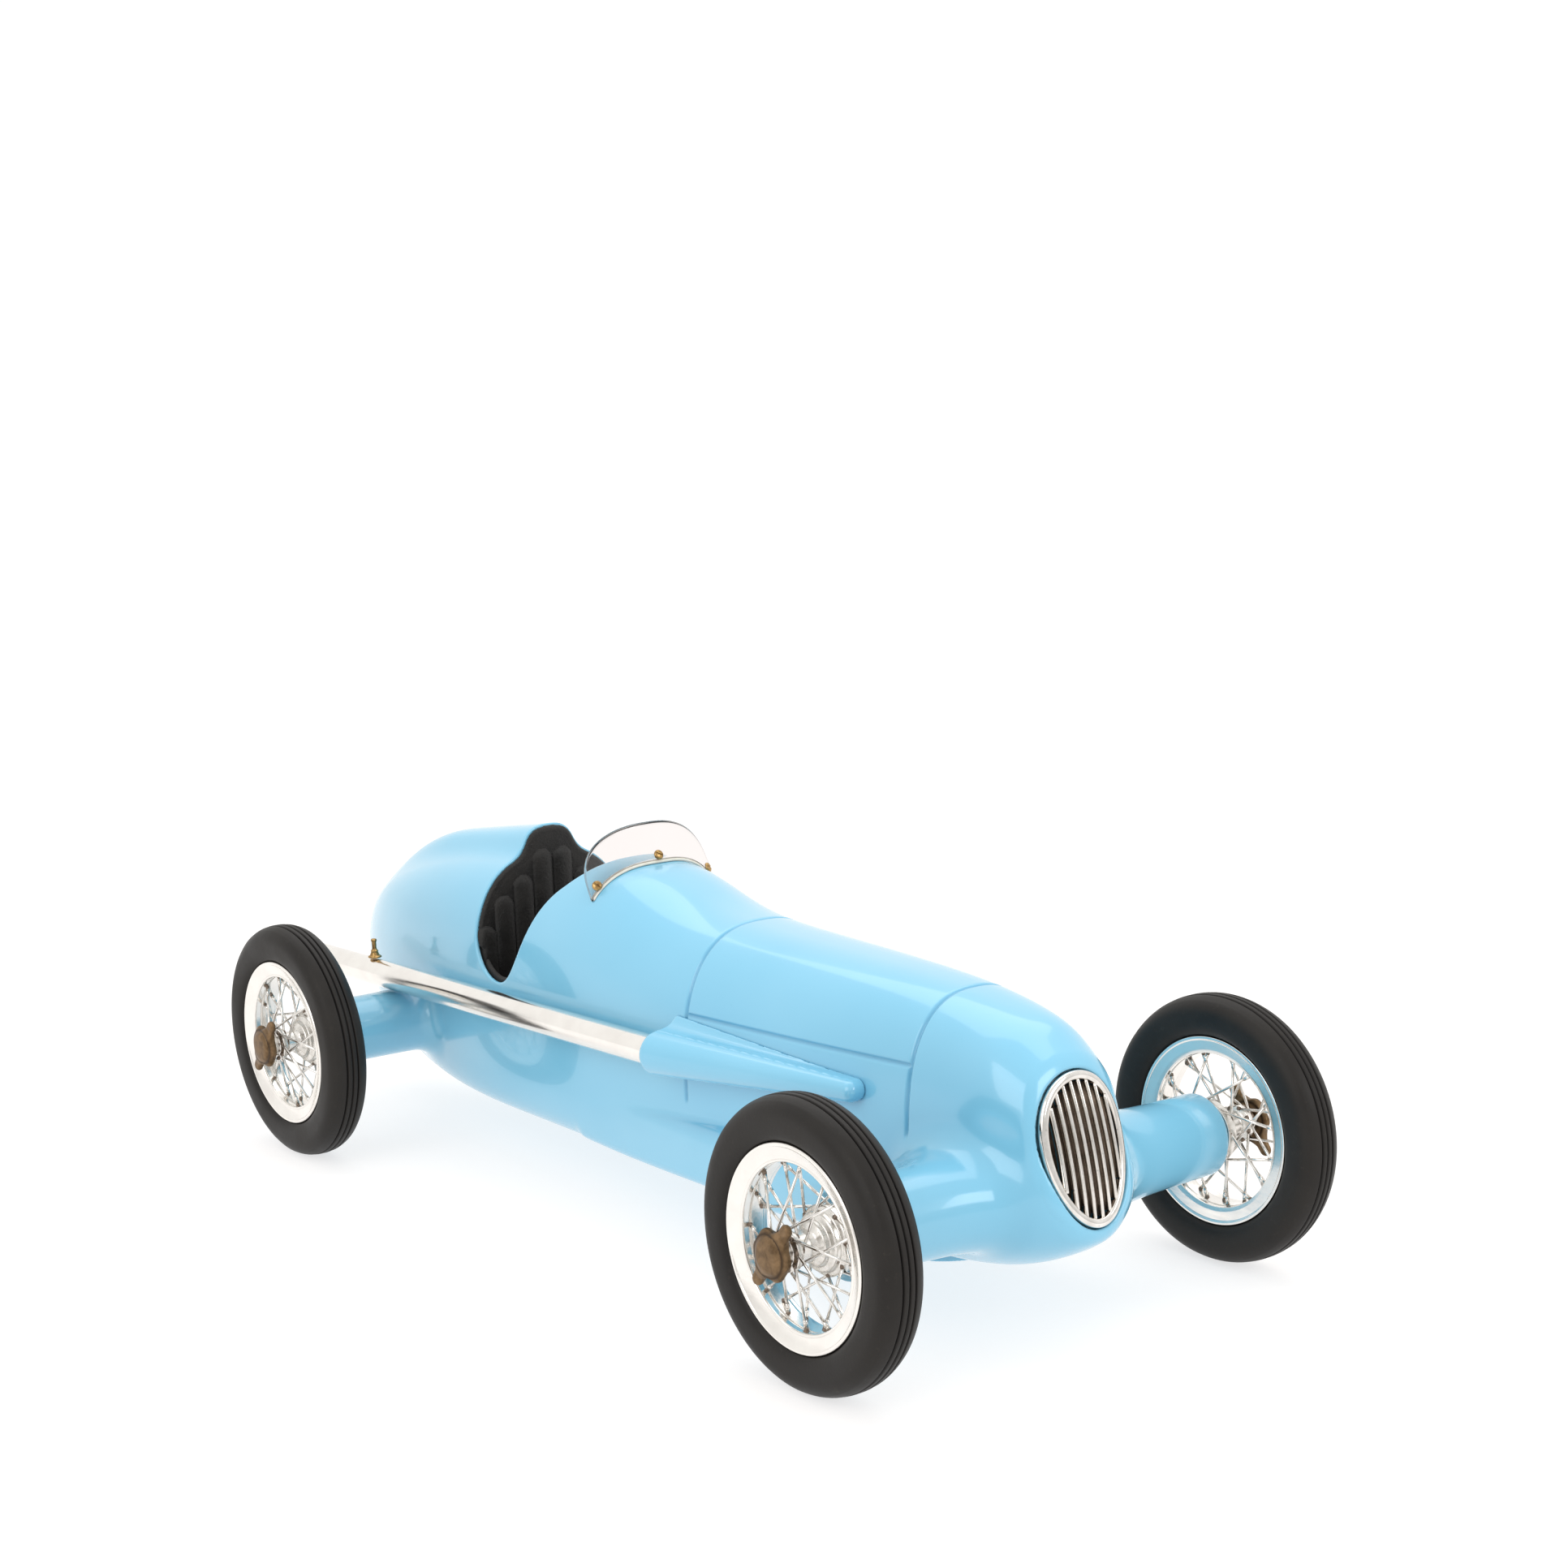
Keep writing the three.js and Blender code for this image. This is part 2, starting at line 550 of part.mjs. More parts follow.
// Turns a piece drawn along +Y so that it faces the given way from the given point.
function aim(geometry, point, facing) {
  const turn = new THREE.Quaternion().setFromUnitVectors(new THREE.Vector3(0, 1, 0), facing);
  return geometry.applyQuaternion(turn).translate(point.x, point.y, point.z);
}

function screenScrew(y) {
  const { seat, facing } = screwFrame(y);
  const profile = [
    new THREE.Vector2(0, -SCREW_LENGTH),
    new THREE.Vector2(SCREW_SHANK_RADIUS, -SCREW_LENGTH),
    new THREE.Vector2(SCREW_SHANK_RADIUS, GAP),
    new THREE.Vector2(SCREW_HEAD_RADIUS, GAP),
    new THREE.Vector2(SCREW_HEAD_RADIUS, GAP + SCREW_HEAD_HEIGHT * 0.45),
    new THREE.Vector2(SCREW_HEAD_RADIUS * 0.65, GAP + SCREW_HEAD_HEIGHT * 0.88),
    new THREE.Vector2(0, GAP + SCREW_HEAD_HEIGHT),
  ];
  return aim(new THREE.LatheGeometry(profile, SMALL_ROUND), seat, facing);
}

function screwHole(y) {
  const { seat, facing } = screwFrame(y);
  const reach = SCREW_LENGTH + GAP;
  return solid(aim(barAlongY(SCREW_SHANK_RADIUS + GAP, 0, 0, -reach, reach), seat, facing));
}

// ---- Exhaust ----
const pipeY = (x) => -(BODY_WIDTH / 2 + PIPE_SIDE_GAP + PIPE_RADIUS - PIPE_SPLAY * (x - REAR_X));
// The pipe rests over the rear axle's fairing and rises a little toward the front.
const PIPE_REST_Z = AXLE_Z + REAR_TUBE_RADIUS + 2 * GAP + PIPE_RADIUS;
const pipeZ = (x) => PIPE_REST_Z + PIPE_SLOPE * (x - REAR_X);

function pipeSolid(radius, x0, x1, facets) {
  return solid(loft([x0, x1].map((x) => Array.from({ length: facets }, (_, k) => {
    const angle = 2 * Math.PI * k / facets;
    const [across, up] = [radius * Math.cos(angle), radius * Math.sin(angle)];
    return new THREE.Vector3(x, pipeY(x) + across, pipeZ(x) + up);
  }))));
}

// Cone along the body side: round behind, where the pipe enters, and running to a small round tip.
function exhaustFairing(bodyGrown) {
  const rear = REAR_X + FAIRING_REAR;
  const { lerp } = THREE.MathUtils;
  const steps = [
    [-0.012, 0.8], [0, 0.96], [0.03, 1], [0.35, 1], [0.7, 1], [0.95, 1], [0.985, 0.75], [1, 0.35],
  ];
  const rings = steps.map(([along, round]) => {
    const x = rear + along * FAIRING_LENGTH;
    const share = Math.max(along, 0);
    const radius = round * lerp(FAIRING_REAR_RADIUS, FAIRING_TIP_RADIUS, share);
    const sideY = -stationAt(placeOf(x)).half * BODY_WIDTH / 2;
    const y = lerp(pipeY(rear), sideY - 0.4 * FAIRING_TIP_RADIUS, share);
    const z = pipeZ(rear) + along * FAIRING_TIP_RISE;
    return Array.from({ length: OVAL_POINTS }, (_, k) => {
      const angle = 2 * Math.PI * k / OVAL_POINTS;
      const reach = Math.cos(angle) > 0 ? radius + FAIRING_ROOT : radius;
      return new THREE.Vector3(x, y + reach * Math.cos(angle), z + radius * Math.sin(angle));
    });
  });
  const socket = pipeSolid(PIPE_RADIUS + GAP, rear - OVERCUT, rear + FAIRING_SOCKET, 24);
  return solid(loft(rings)).subtract(bodyGrown).subtract(socket);
}

// ---- Build the body and what is cut from it ----
const grille = grillePieces();
const rimX = REAR_X + COCKPIT_REAR;
const pocketRearX = rimX - SEAT_BACK_RECESS;
const floorZ = BELLY_Z + COCKPIT_FLOOR;
const cockpitEndX = rimX + COCKPIT_FOOTWELL;
const panRearX = REAR_X + PAN_REAR;
const panFrontX = panRearX + PAN_LENGTH;
const SCREW_SIDES = [['left', SCREW_SPREAD], ['centre', 0], ['right', -SCREW_SPREAD]];

// Stadium-shaped plate seen from below, between two heights.
function panPlate(grow, z0, z1) {
  const half = PAN_HALF_WIDTH + grow;
  const shape = new THREE.Shape();
  shape.moveTo(panRearX - grow + half, -half);
  shape.lineTo(panFrontX + grow - half, -half);
  shape.absarc(panFrontX + grow - half, 0, half, -Math.PI / 2, Math.PI / 2, false);
  shape.lineTo(panRearX - grow + half, half);
  shape.absarc(panRearX - grow + half, 0, half, Math.PI / 2, 3 * Math.PI / 2, false);
  const plate = new THREE.ExtrudeGeometry(shape, { depth: z1 - z0, bevelEnabled: false, curveSegments: 10 });
  return solid(plate.translate(0, 0, z0));
}

const panScrewX = [panRearX + PAN_SCREW_INSET, panFrontX - PAN_SCREW_INSET];
const panTopZ = BELLY_Z + PAN_THICKNESS;

// Hollow above the pan: low under the seat, tall under the hood.
function bay() {
  const half = PAN_HALF_WIDTH - BAY_INSET;
  const low = boxBetween(
    [panRearX + 3 * BAY_INSET, -half, BELLY_Z - OVERCUT],
    [panFrontX - 3 * BAY_INSET, half, floorZ - 3],
  );
  const tall = boxBetween(
    [cockpitEndX + BAY_INSET, -half, BELLY_Z],
    [panFrontX - 3 * BAY_INSET, half, BELLY_Z + BAY_HEIGHT],
  );
  return solid(low).add(solid(tall));
}

const bodyGrown = bodyForm(-GAP);
let body = bodyForm()
  .add(headrestFairing())
  .add(flankShelf())
  .add(axleFairing(FRONT_X, {
    radius: FRONT_TUBE_RADIUS,
    rootAhead: FRONT_ROOT_AHEAD,
    rootBehind: FRONT_ROOT_BEHIND,
    rootHeight: FRONT_ROOT_HALF_HEIGHT,
    rootY: FRONT_ROOT_SIDE,
  }))
  .add(axleFairing(REAR_X, {
    radius: REAR_TUBE_RADIUS,
    rootAhead: REAR_ROOT_REACH,
    rootBehind: REAR_ROOT_REACH,
    rootHeight: REAR_TUBE_RADIUS,
    rootY: REAR_ROOT_SIDE,
  }))
  .subtract(cockpitCut())
  .subtract(cockpitInside(COCKPIT_WALL, pocketRearX, cockpitEndX, floorZ))
  .subtract(headrestInside(COCKPIT_WALL, pocketRearX, rimX + GAP))
  .subtract(grille.recess)
  .subtract(panPlate(GAP, BELLY_Z - OVERCUT, panTopZ + GAP))
  .subtract(bay());
[REAR_X, FRONT_X].forEach((x) => {
  const bore = barAlongY(AXLE_RADIUS + GAP, x, AXLE_Z, -TUBE_END_Y - OVERCUT, TUBE_END_Y + OVERCUT);
  body = body.subtract(solid(bore));
});
SCREW_SIDES.forEach(([, y]) => {
  body = body.subtract(screwHole(y));
});
panScrewX.forEach((x) => {
  const depth = PAN_SCREW_DEPTH + GAP;
  body = body.subtract(solid(barAlongZ(PAN_SCREW_SHANK + GAP, x, panTopZ - depth, panTopZ + depth)));
});
add('body_shell', fromSolid(body), PAINT);

let pan = panPlate(0, BELLY_Z, panTopZ);
panScrewX.forEach((x, index) => {
  const underZ = BELLY_Z - OVERCUT;
  const countersink = barAlongZ(PAN_SCREW_RADIUS + GAP, x, underZ, BELLY_Z + PAN_SCREW_HEIGHT);
  const shankHole = barAlongZ(PAN_SCREW_SHANK + GAP, x, underZ, panTopZ + OVERCUT);
  pan = pan.subtract(solid(countersink)).subtract(solid(shankHole));
  const headTop = PAN_SCREW_HEIGHT - GAP;
  const profile = [
    new THREE.Vector2(0, 0),
    new THREE.Vector2(PAN_SCREW_RADIUS, 0),
    new THREE.Vector2(PAN_SCREW_RADIUS, headTop),
    new THREE.Vector2(PAN_SCREW_SHANK, headTop),
    new THREE.Vector2(PAN_SCREW_SHANK, PAN_THICKNESS + PAN_SCREW_DEPTH - GAP),
    new THREE.Vector2(0, PAN_THICKNESS + PAN_SCREW_DEPTH - GAP),
  ];
  const screw = new THREE.LatheGeometry(profile, SMALL_ROUND).rotateX(Math.PI / 2);
  add(`pan_screw_${index === 0 ? 'rear' : 'front'}`, screw, CHROME, { position: [x, 0, BELLY_Z + GAP] });
});
add('belly_pan', fromSolid(pan), PAINT);

// ---- Grille ----
add('grille_surround', fromSolid(grille.surround), CHROME);
add('grille_insert', fromSolid(grille.insert), CHROME);

// ---- Cockpit ----
const seatRearX = pocketRearX + GAP;
const seatFrontX = seatRearX + SEAT_BACK_THICKNESS;
const linerRearX = seatFrontX + GAP;
const linerInset = COCKPIT_WALL + GAP;
const liner = cockpitInside(linerInset, linerRearX, cockpitEndX - GAP, floorZ + GAP)
  .subtract(cockpitInside(linerInset + LINER_WALL, linerRearX - OVERCUT, cockpitEndX - GAP - LINER_WALL,
    floorZ + GAP + LINER_WALL))
  .subtract(cockpitCut(-1));
add('cockpit_liner', fromSolid(liner), UPHOLSTERY);

const seatBack = cockpitInside(linerInset, seatRearX, seatFrontX, floorZ + GAP)
  .add(headrestInside(linerInset, seatRearX, seatFrontX));
add('seat_back', fromSolid(seatBack), UPHOLSTERY);

const cushionBevel = 2;
const cushionShape = new THREE.Shape([
  new THREE.Vector2(0, -SEAT_CUSHION_WIDTH / 2),
  new THREE.Vector2(SEAT_CUSHION_LENGTH, -SEAT_CUSHION_WIDTH / 2 + cushionBevel),
  new THREE.Vector2(SEAT_CUSHION_LENGTH, SEAT_CUSHION_WIDTH / 2 - cushionBevel),
  new THREE.Vector2(0, SEAT_CUSHION_WIDTH / 2),
]);
const cushion = new THREE.ExtrudeGeometry(cushionShape, {
  depth: SEAT_CUSHION_HEIGHT - 2 * cushionBevel, bevelThickness: cushionBevel, bevelSize: cushionBevel,
  bevelOffset: -cushionBevel, bevelSegments: 2,
});
add('seat_cushion', cushion, UPHOLSTERY, {
  position: [seatFrontX + GAP, 0, floorZ + 2 * GAP + LINER_WALL + cushionBevel],
});

// ---- Aero screen and its screws ----
let screen = screenSheet();
SCREW_SIDES.forEach(([side, y]) => {
  screen = screen.subtract(screwHole(y));
  add(`screen_screw_${side}`, screenScrew(y), BRASS);
});
add('windscreen', fromSolid(screen), CLEAR);

// ---- Exhaust ----
add('exhaust_fairing', fromSolid(exhaustFairing(bodyGrown)), PAINT);
const pipeFrontX = REAR_X + FAIRING_REAR + FAIRING_SOCKET - GAP;
add('exhaust_pipe', fromSolid(pipeSolid(PIPE_RADIUS, REAR_X - PIPE_BEHIND, pipeFrontX, 24)), POLISHED);
const pinX = REAR_X - PIN_BEHIND;
const pinProfile = [
  new THREE.Vector2(0, 0),
  new THREE.Vector2(PIN_BASE_RADIUS, 0),
  new THREE.Vector2(PIN_RADIUS * 1.3, PIN_BASE_HEIGHT),
  new THREE.Vector2(PIN_RADIUS, PIN_BASE_HEIGHT + 0.3),
  new THREE.Vector2(PIN_RADIUS, PIN_HEIGHT - 0.3),
  new THREE.Vector2(0, PIN_HEIGHT),
];
add('pipe_pin', new THREE.LatheGeometry(pinProfile, SMALL_ROUND).rotateX(Math.PI / 2), BRASS, {
  position: [pinX, pipeY(pinX), pipeZ(pinX) + PIPE_RADIUS + GAP],
});

// ---- Axles ----
const axleEndY = TRACK / 2 + HUB_OUTER_OFFSET - 2 * GAP;
[['front', FRONT_X], ['rear', REAR_X]].forEach(([end, x]) => {
  add(`${end}_axle`, barAlongY(AXLE_RADIUS, x, AXLE_Z, -axleEndY, axleEndY), CHROME);
});

// ---- Wheels, drawn about +Y pointing outboard ----
function turned(points, facets) {
  return new THREE.LatheGeometry(points.map(([r, y]) => new THREE.Vector2(r, y)), facets);
}

function tyreShape() {
  const bead = RIM_RADIUS + GAP;
  const crown = (TYRE_RADIUS + bead) / 2;
  const depth = (TYRE_RADIUS - bead) / 2;
  const section = Array.from({ length: 13 }, (_, k) => {
    const angle = -Math.PI / 2 + 2 * Math.PI * (k % 12) / 12;
    return [crown + depth * power(Math.cos(angle), 0.8), TYRE_WIDTH / 2 * power(Math.sin(angle), 0.72)];
  });
  return turned(section, ROUND);
}

function rimShape() {
  const well = WELL_WIDTH / 2;
  return turned([
    [RIM_RADIUS, -RIM_INBOARD], [RIM_RADIUS, RIM_OUTBOARD], [RIM_RADIUS - RIM_WALL, RIM_OUTBOARD],
    [WELL_RADIUS, well], [WELL_RADIUS, -well], [RIM_RADIUS - RIM_WALL, -RIM_INBOARD],
    [RIM_RADIUS, -RIM_INBOARD],
  ], ROUND);
}

// Cross-laced spokes between a thin band in the rim's well and the two hub flanges.
function spokeSet() {
  const bandOuter = WELL_RADIUS - GAP;
  const bandInner = bandOuter - SPOKE_BAND;
  const bandHalf = WELL_WIDTH / 2;
  let set = solid(turned([
    [bandInner, -bandHalf], [bandOuter, -bandHalf], [bandOuter, bandHalf], [bandInner, bandHalf],
    [bandInner, -bandHalf],
  ], ROUND));
  for (let k = 0; k < SPOKE_COUNT; k += 1) {
    const outboard = k % 2 === 0;
    const lean = Math.floor(k / 2) % 2 === 0 ? 1 : -1;
    const rimAngle = 2 * Math.PI * k / SPOKE_COUNT;
    const hubRadius = (outboard ? HUB_FLANGE_RADIUS : HUB_DRUM_RADIUS) + GAP + SPOKE_RADIUS;
    const hubAngle = rimAngle + lean * (outboard ? 1 : 0.8);
    const hubY = (outboard ? HUB_OUTER_OFFSET - 2.6 : 1.4 - HUB_INNER_OFFSET) + lean * SPOKE_PASSING;
    const rimY = (outboard ? 0.27 : -0.27) * WELL_WIDTH + lean * SPOKE_PASSING / 2;
    const from = new THREE.Vector3().setFromCylindricalCoords(hubRadius, hubAngle, hubY);
    const to = new THREE.Vector3().setFromCylindricalCoords(bandInner + SPOKE_BAND / 2, rimAngle, rimY);
    const along = to.clone().sub(from);
    const spoke = new THREE.CylinderGeometry(SPOKE_RADIUS, SPOKE_RADIUS, along.length(), 3);
    set = set.add(solid(aim(spoke, from.clone().addScaledVector(along, 0.5), along.normalize())));
  }
  return fromSolid(set);
}

function hubShape() {
  const bore = AXLE_RADIUS + AXLE_RUNNING_GAP;
  const inner = -HUB_INNER_OFFSET;
  const outer = HUB_OUTER_OFFSET;
  return turned([
    [bore, inner], [HUB_DRUM_RADIUS, inner], [HUB_DRUM_RADIUS, inner + 2.6],
    [HUB_DRUM_RADIUS * 0.78, inner + 3.1], [HUB_DRUM_RADIUS * 0.78, inner + 4.2],
    [HUB_BARREL_RADIUS, inner + 5], [HUB_BARREL_RADIUS, outer - 3.4],
    [HUB_FLANGE_RADIUS, outer - 3.1], [HUB_FLANGE_RADIUS, outer - 2],
    [HUB_BARREL_RADIUS, outer - 1.7], [HUB_BARREL_RADIUS, outer], [bore, outer], [bore, inner],
  ], 16);
}

function knockOffShape() {
  const back = HUB_OUTER_OFFSET + GAP;
  const front = KNOCK_OFF_FACE_OFFSET;
  const boss = turned([
    [0, back], [KNOCK_OFF_SKIRT_RADIUS, back], [KNOCK_OFF_SKIRT_RADIUS, back + 0.7],
    [KNOCK_OFF_BOSS_RADIUS, back + 1.1], [KNOCK_OFF_BOSS_RADIUS, front - 0.5],
    [KNOCK_OFF_BOSS_RADIUS - 0.5, front], [0, front],
  ], SMALL_ROUND);
  const half = KNOCK_OFF_EAR_WIDTH / 2;
  const ears = new THREE.Shape();
  ears.moveTo(-KNOCK_OFF_EAR_REACH + half, -half);
  ears.lineTo(KNOCK_OFF_EAR_REACH - half, -half);
  ears.absarc(KNOCK_OFF_EAR_REACH - half, 0, half, -Math.PI / 2, Math.PI / 2, false);
  ears.lineTo(-KNOCK_OFF_EAR_REACH + half, half);
  ears.absarc(-KNOCK_OFF_EAR_REACH + half, 0, half, Math.PI / 2, 3 * Math.PI / 2, false);
  const wings = new THREE.ExtrudeGeometry(ears, {
    depth: KNOCK_OFF_EAR_THICKNESS, bevelEnabled: false, curveSegments: 5,
  });
  wings.rotateX(-Math.PI / 2).rotateY(KNOCK_OFF_EAR_ANGLE).translate(0, back + 0.25, 0);
  return fromSolid(solid(boss).add(solid(wings)));
}

function collarShape() {
  const bore = AXLE_RADIUS + GAP;
  return turned([
    [bore, 0], [COLLAR_RADIUS, 0], [COLLAR_RADIUS, COLLAR_LENGTH], [bore, COLLAR_LENGTH], [bore, 0],
  ], SMALL_ROUND);
}

[['front', FRONT_X], ['rear', REAR_X]].forEach(([end, x]) => {
  [['left', 1], ['right', -1]].forEach(([side, sign]) => {
    const wheel = new THREE.Group();
    wheel.position.set(x, sign * TRACK / 2, AXLE_Z);
    wheel.rotation.z = sign > 0 ? 0 : Math.PI;
    car.add(wheel);
    const name = (piece) => `${end}_${side}_${piece}`;
    add(name('tyre'), tyreShape(), BLACK_RUBBER, { parent: wheel });
    add(name('rim'), rimShape(), CHROME, { parent: wheel });
    add(name('spokes'), spokeSet(), CHROME, { parent: wheel });
    add(name('hub'), hubShape(), CHROME, { parent: wheel });
    add(name('knock_off'), knockOffShape(), BRONZE, { parent: wheel });
    add(name('axle_collar'), collarShape(), CHROME, {
      parent: wheel, position: [0, TUBE_END_Y + GAP - TRACK / 2, 0],
    });
  });
});

export default car;
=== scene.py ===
"""Looks for the tabletop racing car: moulded body, wire wheels, grille, seat, aero screen, exhaust.

Shapes are worked out in millimetres in the frame's axes and turned into metres when a mesh is made.
"""

import itertools
import math

import bpy
import numpy as np
from mathutils import Matrix, Vector


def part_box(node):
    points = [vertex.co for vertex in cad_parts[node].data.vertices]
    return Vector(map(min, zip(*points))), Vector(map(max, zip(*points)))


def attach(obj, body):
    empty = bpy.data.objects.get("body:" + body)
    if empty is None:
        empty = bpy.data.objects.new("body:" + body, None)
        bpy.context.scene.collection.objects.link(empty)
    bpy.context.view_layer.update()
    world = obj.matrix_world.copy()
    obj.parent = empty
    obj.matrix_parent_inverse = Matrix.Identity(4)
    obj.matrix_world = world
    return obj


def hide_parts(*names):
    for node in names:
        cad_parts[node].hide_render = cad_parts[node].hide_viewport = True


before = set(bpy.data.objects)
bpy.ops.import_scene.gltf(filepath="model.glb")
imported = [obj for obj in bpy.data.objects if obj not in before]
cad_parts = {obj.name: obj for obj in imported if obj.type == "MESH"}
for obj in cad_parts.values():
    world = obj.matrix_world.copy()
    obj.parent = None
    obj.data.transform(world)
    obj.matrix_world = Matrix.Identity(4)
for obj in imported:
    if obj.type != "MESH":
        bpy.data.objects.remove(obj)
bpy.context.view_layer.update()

MM = 0.001


def box_mm(node):
    """Lowest and highest corner of a CAD node, in millimetres."""
    low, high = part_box(node)
    return np.array(low) / MM, np.array(high) / MM


# ---- Places read from the frame ----
_front, _rear = box_mm("front_axle"), box_mm("rear_axle")
FRONT_X, REAR_X = float(sum(_front)[0]) / 2, float(sum(_rear)[0]) / 2
AXLES = (("front", FRONT_X), ("rear", REAR_X))
AXLE_Z = float(sum(_rear)[2]) / 2
AXLE_RADIUS = float(_rear[1][2] - _rear[0][2]) / 2
WHEELBASE = FRONT_X - REAR_X
_tyre = box_mm("front_left_tyre")
TYRE_RADIUS = float(_tyre[1][2] - _tyre[0][2]) / 2
TYRE_WIDTH = float(_tyre[1][1] - _tyre[0][1])
TRACK = float(_tyre[1][1] + _tyre[0][1])
_shell = box_mm("body_shell")
TAIL_X = float(_shell[0][0])
BELLY_Z = float(_shell[0][2])
TUBE_END_Y = float(_shell[1][1])
_ring = box_mm("grille_surround")
_rim = box_mm("front_left_rim")
RIM_RADIUS = float(_rim[1][2] - _rim[0][2]) / 2
RIM_OUTBOARD = float(_rim[1][1]) - TRACK / 2
RIM_INBOARD = TRACK / 2 - float(_rim[0][1])
_pan = box_mm("belly_pan")
PAN_REAR_X, PAN_FRONT_X = float(_pan[0][0]), float(_pan[1][0])
PAN_HALF_WIDTH = float(_pan[1][1])

# ---- Body proportions ----
BODY_WIDTH = 48
BODY_HEIGHT = 69
TAIL_LENGTH = REAR_X - TAIL_X
NOSE_LENGTH = 16.7
FACE_X = FRONT_X + NOSE_LENGTH
TOP_SQUARE = 2.5
FRONT_TUBE_RADIUS = 9.3
REAR_TUBE_RADIUS = 8.4
HEADREST_HALF_WIDTH = 8.8
HEADREST_TOP = 1.048  # share of the body's height
# Where, how far behind and ahead, how soft a root, then the sizes that axle_fairing takes.
AXLE_FAIRINGS = (
    (FRONT_X, 44, 28, 6.5, (FRONT_TUBE_RADIUS, 17.5, 34, 12.2, 11)),
    (REAR_X, 20, 20, 5, (REAR_TUBE_RADIUS, 12.5, 12.5, REAR_TUBE_RADIUS, 19)),
)
WALL = 1.2
GAP = 0.3

# ---- Nose face ----
GRILLE_HEIGHT = 32
GRILLE_WIDTH = float(_ring[1][1] - _ring[0][1])
GRILLE_Z = BELLY_Z + 30
GRILLE_LEAN = 0.28
GRILLE_BOW = 0.009
GRILLE_RISE = 1 / math.hypot(1, GRILLE_LEAN)
RING_WIDTH = 1.9
RING_PROUD = 0.9
RECESS_DEPTH = 2.6
EGG_POWER = 0.93
BAR_COUNT = 8
BAR_HALF_WIDTH = 0.45
BAR_BOW = 1.3  # how far the bars stand forward at mid-height
BAR_FOOT = -1.95

# ---- Cockpit ----
RIM_X = REAR_X + 34.5
COCKPIT_LIP = 42.5
SILL_Z = BELLY_Z + 36.4
COCKPIT_FLOOR_Z = BELLY_Z + 16
COCKPIT_END_X = RIM_X + 54
SEAT_RECESS = 3.6
SEAT_PROUD = 2.0

# ---- Screen ----
SCREEN_X = REAR_X + 84.3
SCREEN_TOP_Z = BELLY_Z + 78
SCREEN_HALF_WIDTH = 17.9
SCREEN_LEAN = 0.52
SCREEN_WRAP = 0.021
SCREEN_THICKNESS = 0.9
SCREEN_ROUND = 0.16
SCREEN_SIDE_HEIGHT = 3
SCREW_LIFT = 1.5

# ---- Exhaust ----
_pipe = box_mm("exhaust_pipe")
PIPE_RADIUS = 3.55
PIPE_REAR_X, PIPE_FRONT_X = float(_pipe[0][0]), float(_pipe[1][0])
PIPE_SPLAY = 0.016
PIPE_SLOPE = 0.018
FAIRING_REAR_X = REAR_X + 120.5
FAIRING_LENGTH = 64
FAIRING_REAR_RADIUS = 5.2
FAIRING_TIP_RADIUS = 2.4
FAIRING_TIP_RISE = 2.6
SEAM = 0.12  # between the fairing and the parts that it meets


# ======== Mesh helpers ========


def piece(name, mesh, finish, node=None, slot=None, body="body", hollow=None):
    """One visible piece riding on a CAD body. The mesh is points in millimetres, faces and perhaps
    normals; hollow says how deep each point lies in a crevice, 0 to 1, for the finish: the bronze darkens
    there with patina, and the other finishes with painted shade."""
    points, faces, *normals = mesh
    data = bpy.data.meshes.new(name)
    data.from_pydata((np.asarray(points, float) * MM).tolist(), [], [list(map(int, f)) for f in faces])
    data.update()
    data.polygons.foreach_set("use_smooth", [True] * len(data.polygons))
    if normals:
        data.normals_split_custom_set_from_vertices(normals[0].tolist())
    if hollow is not None:
        levels = data.attributes.new("groove", "FLOAT", "POINT")
        levels.data.foreach_set("value", np.asarray(hollow, np.float32))
    data.materials.append(FINISH[finish])
    made = bpy.data.objects.new(name, data)
    bpy.context.scene.collection.objects.link(made)
    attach(made, body)
    if node:
        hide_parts(node)
    return made


def together(parts):
    """Joins (points, faces) pairs into one."""
    points, faces, start = [], [], 0
    for part_points, part_faces in parts:
        points.append(part_points)
        faces.extend([[start + i for i in face] for face in part_faces])
        start += len(part_points)
    return np.concatenate(points), faces


def full_turn(count):
    return np.arange(count) * 2 * np.pi / count


def loft(rings, closed=False):
    """Skin through rings of equal point count, capped with a polygon at each end unless closed."""
    rings = np.asarray(rings, float)
    count, width = rings.shape[:2]
    faces = []
    for i in range(count if closed else count - 1):
        row, after = i * width, (i + 1) % count * width
        for j in range(width):
            beside = (j + 1) % width
            faces.append([row + j, row + beside, after + beside, after + j])
    if not closed:
        faces.append(list(range(width))[::-1])
        faces.append([(count - 1) * width + j for j in range(width)])
    return rings.reshape(-1, 3), faces


def turned(profile, segments):
    """A profile of (radius, y) pairs spun about the Y axis. A profile that starts and ends on itself
    makes a ring; any other is capped."""
    profile = np.asarray(profile, float)
    ring = np.allclose(profile[0], profile[-1])
    if ring:
        profile = profile[:-1]
    sin, cos = np.sin(full_turn(segments)), np.cos(full_turn(segments))
    radii = np.maximum(profile[:, 0], 0.01)
    rings = [np.stack([r * sin, 0 * sin + y, r * cos], 1) for r, y in zip(radii, profile[:, 1])]
    return loft(rings, closed=ring)


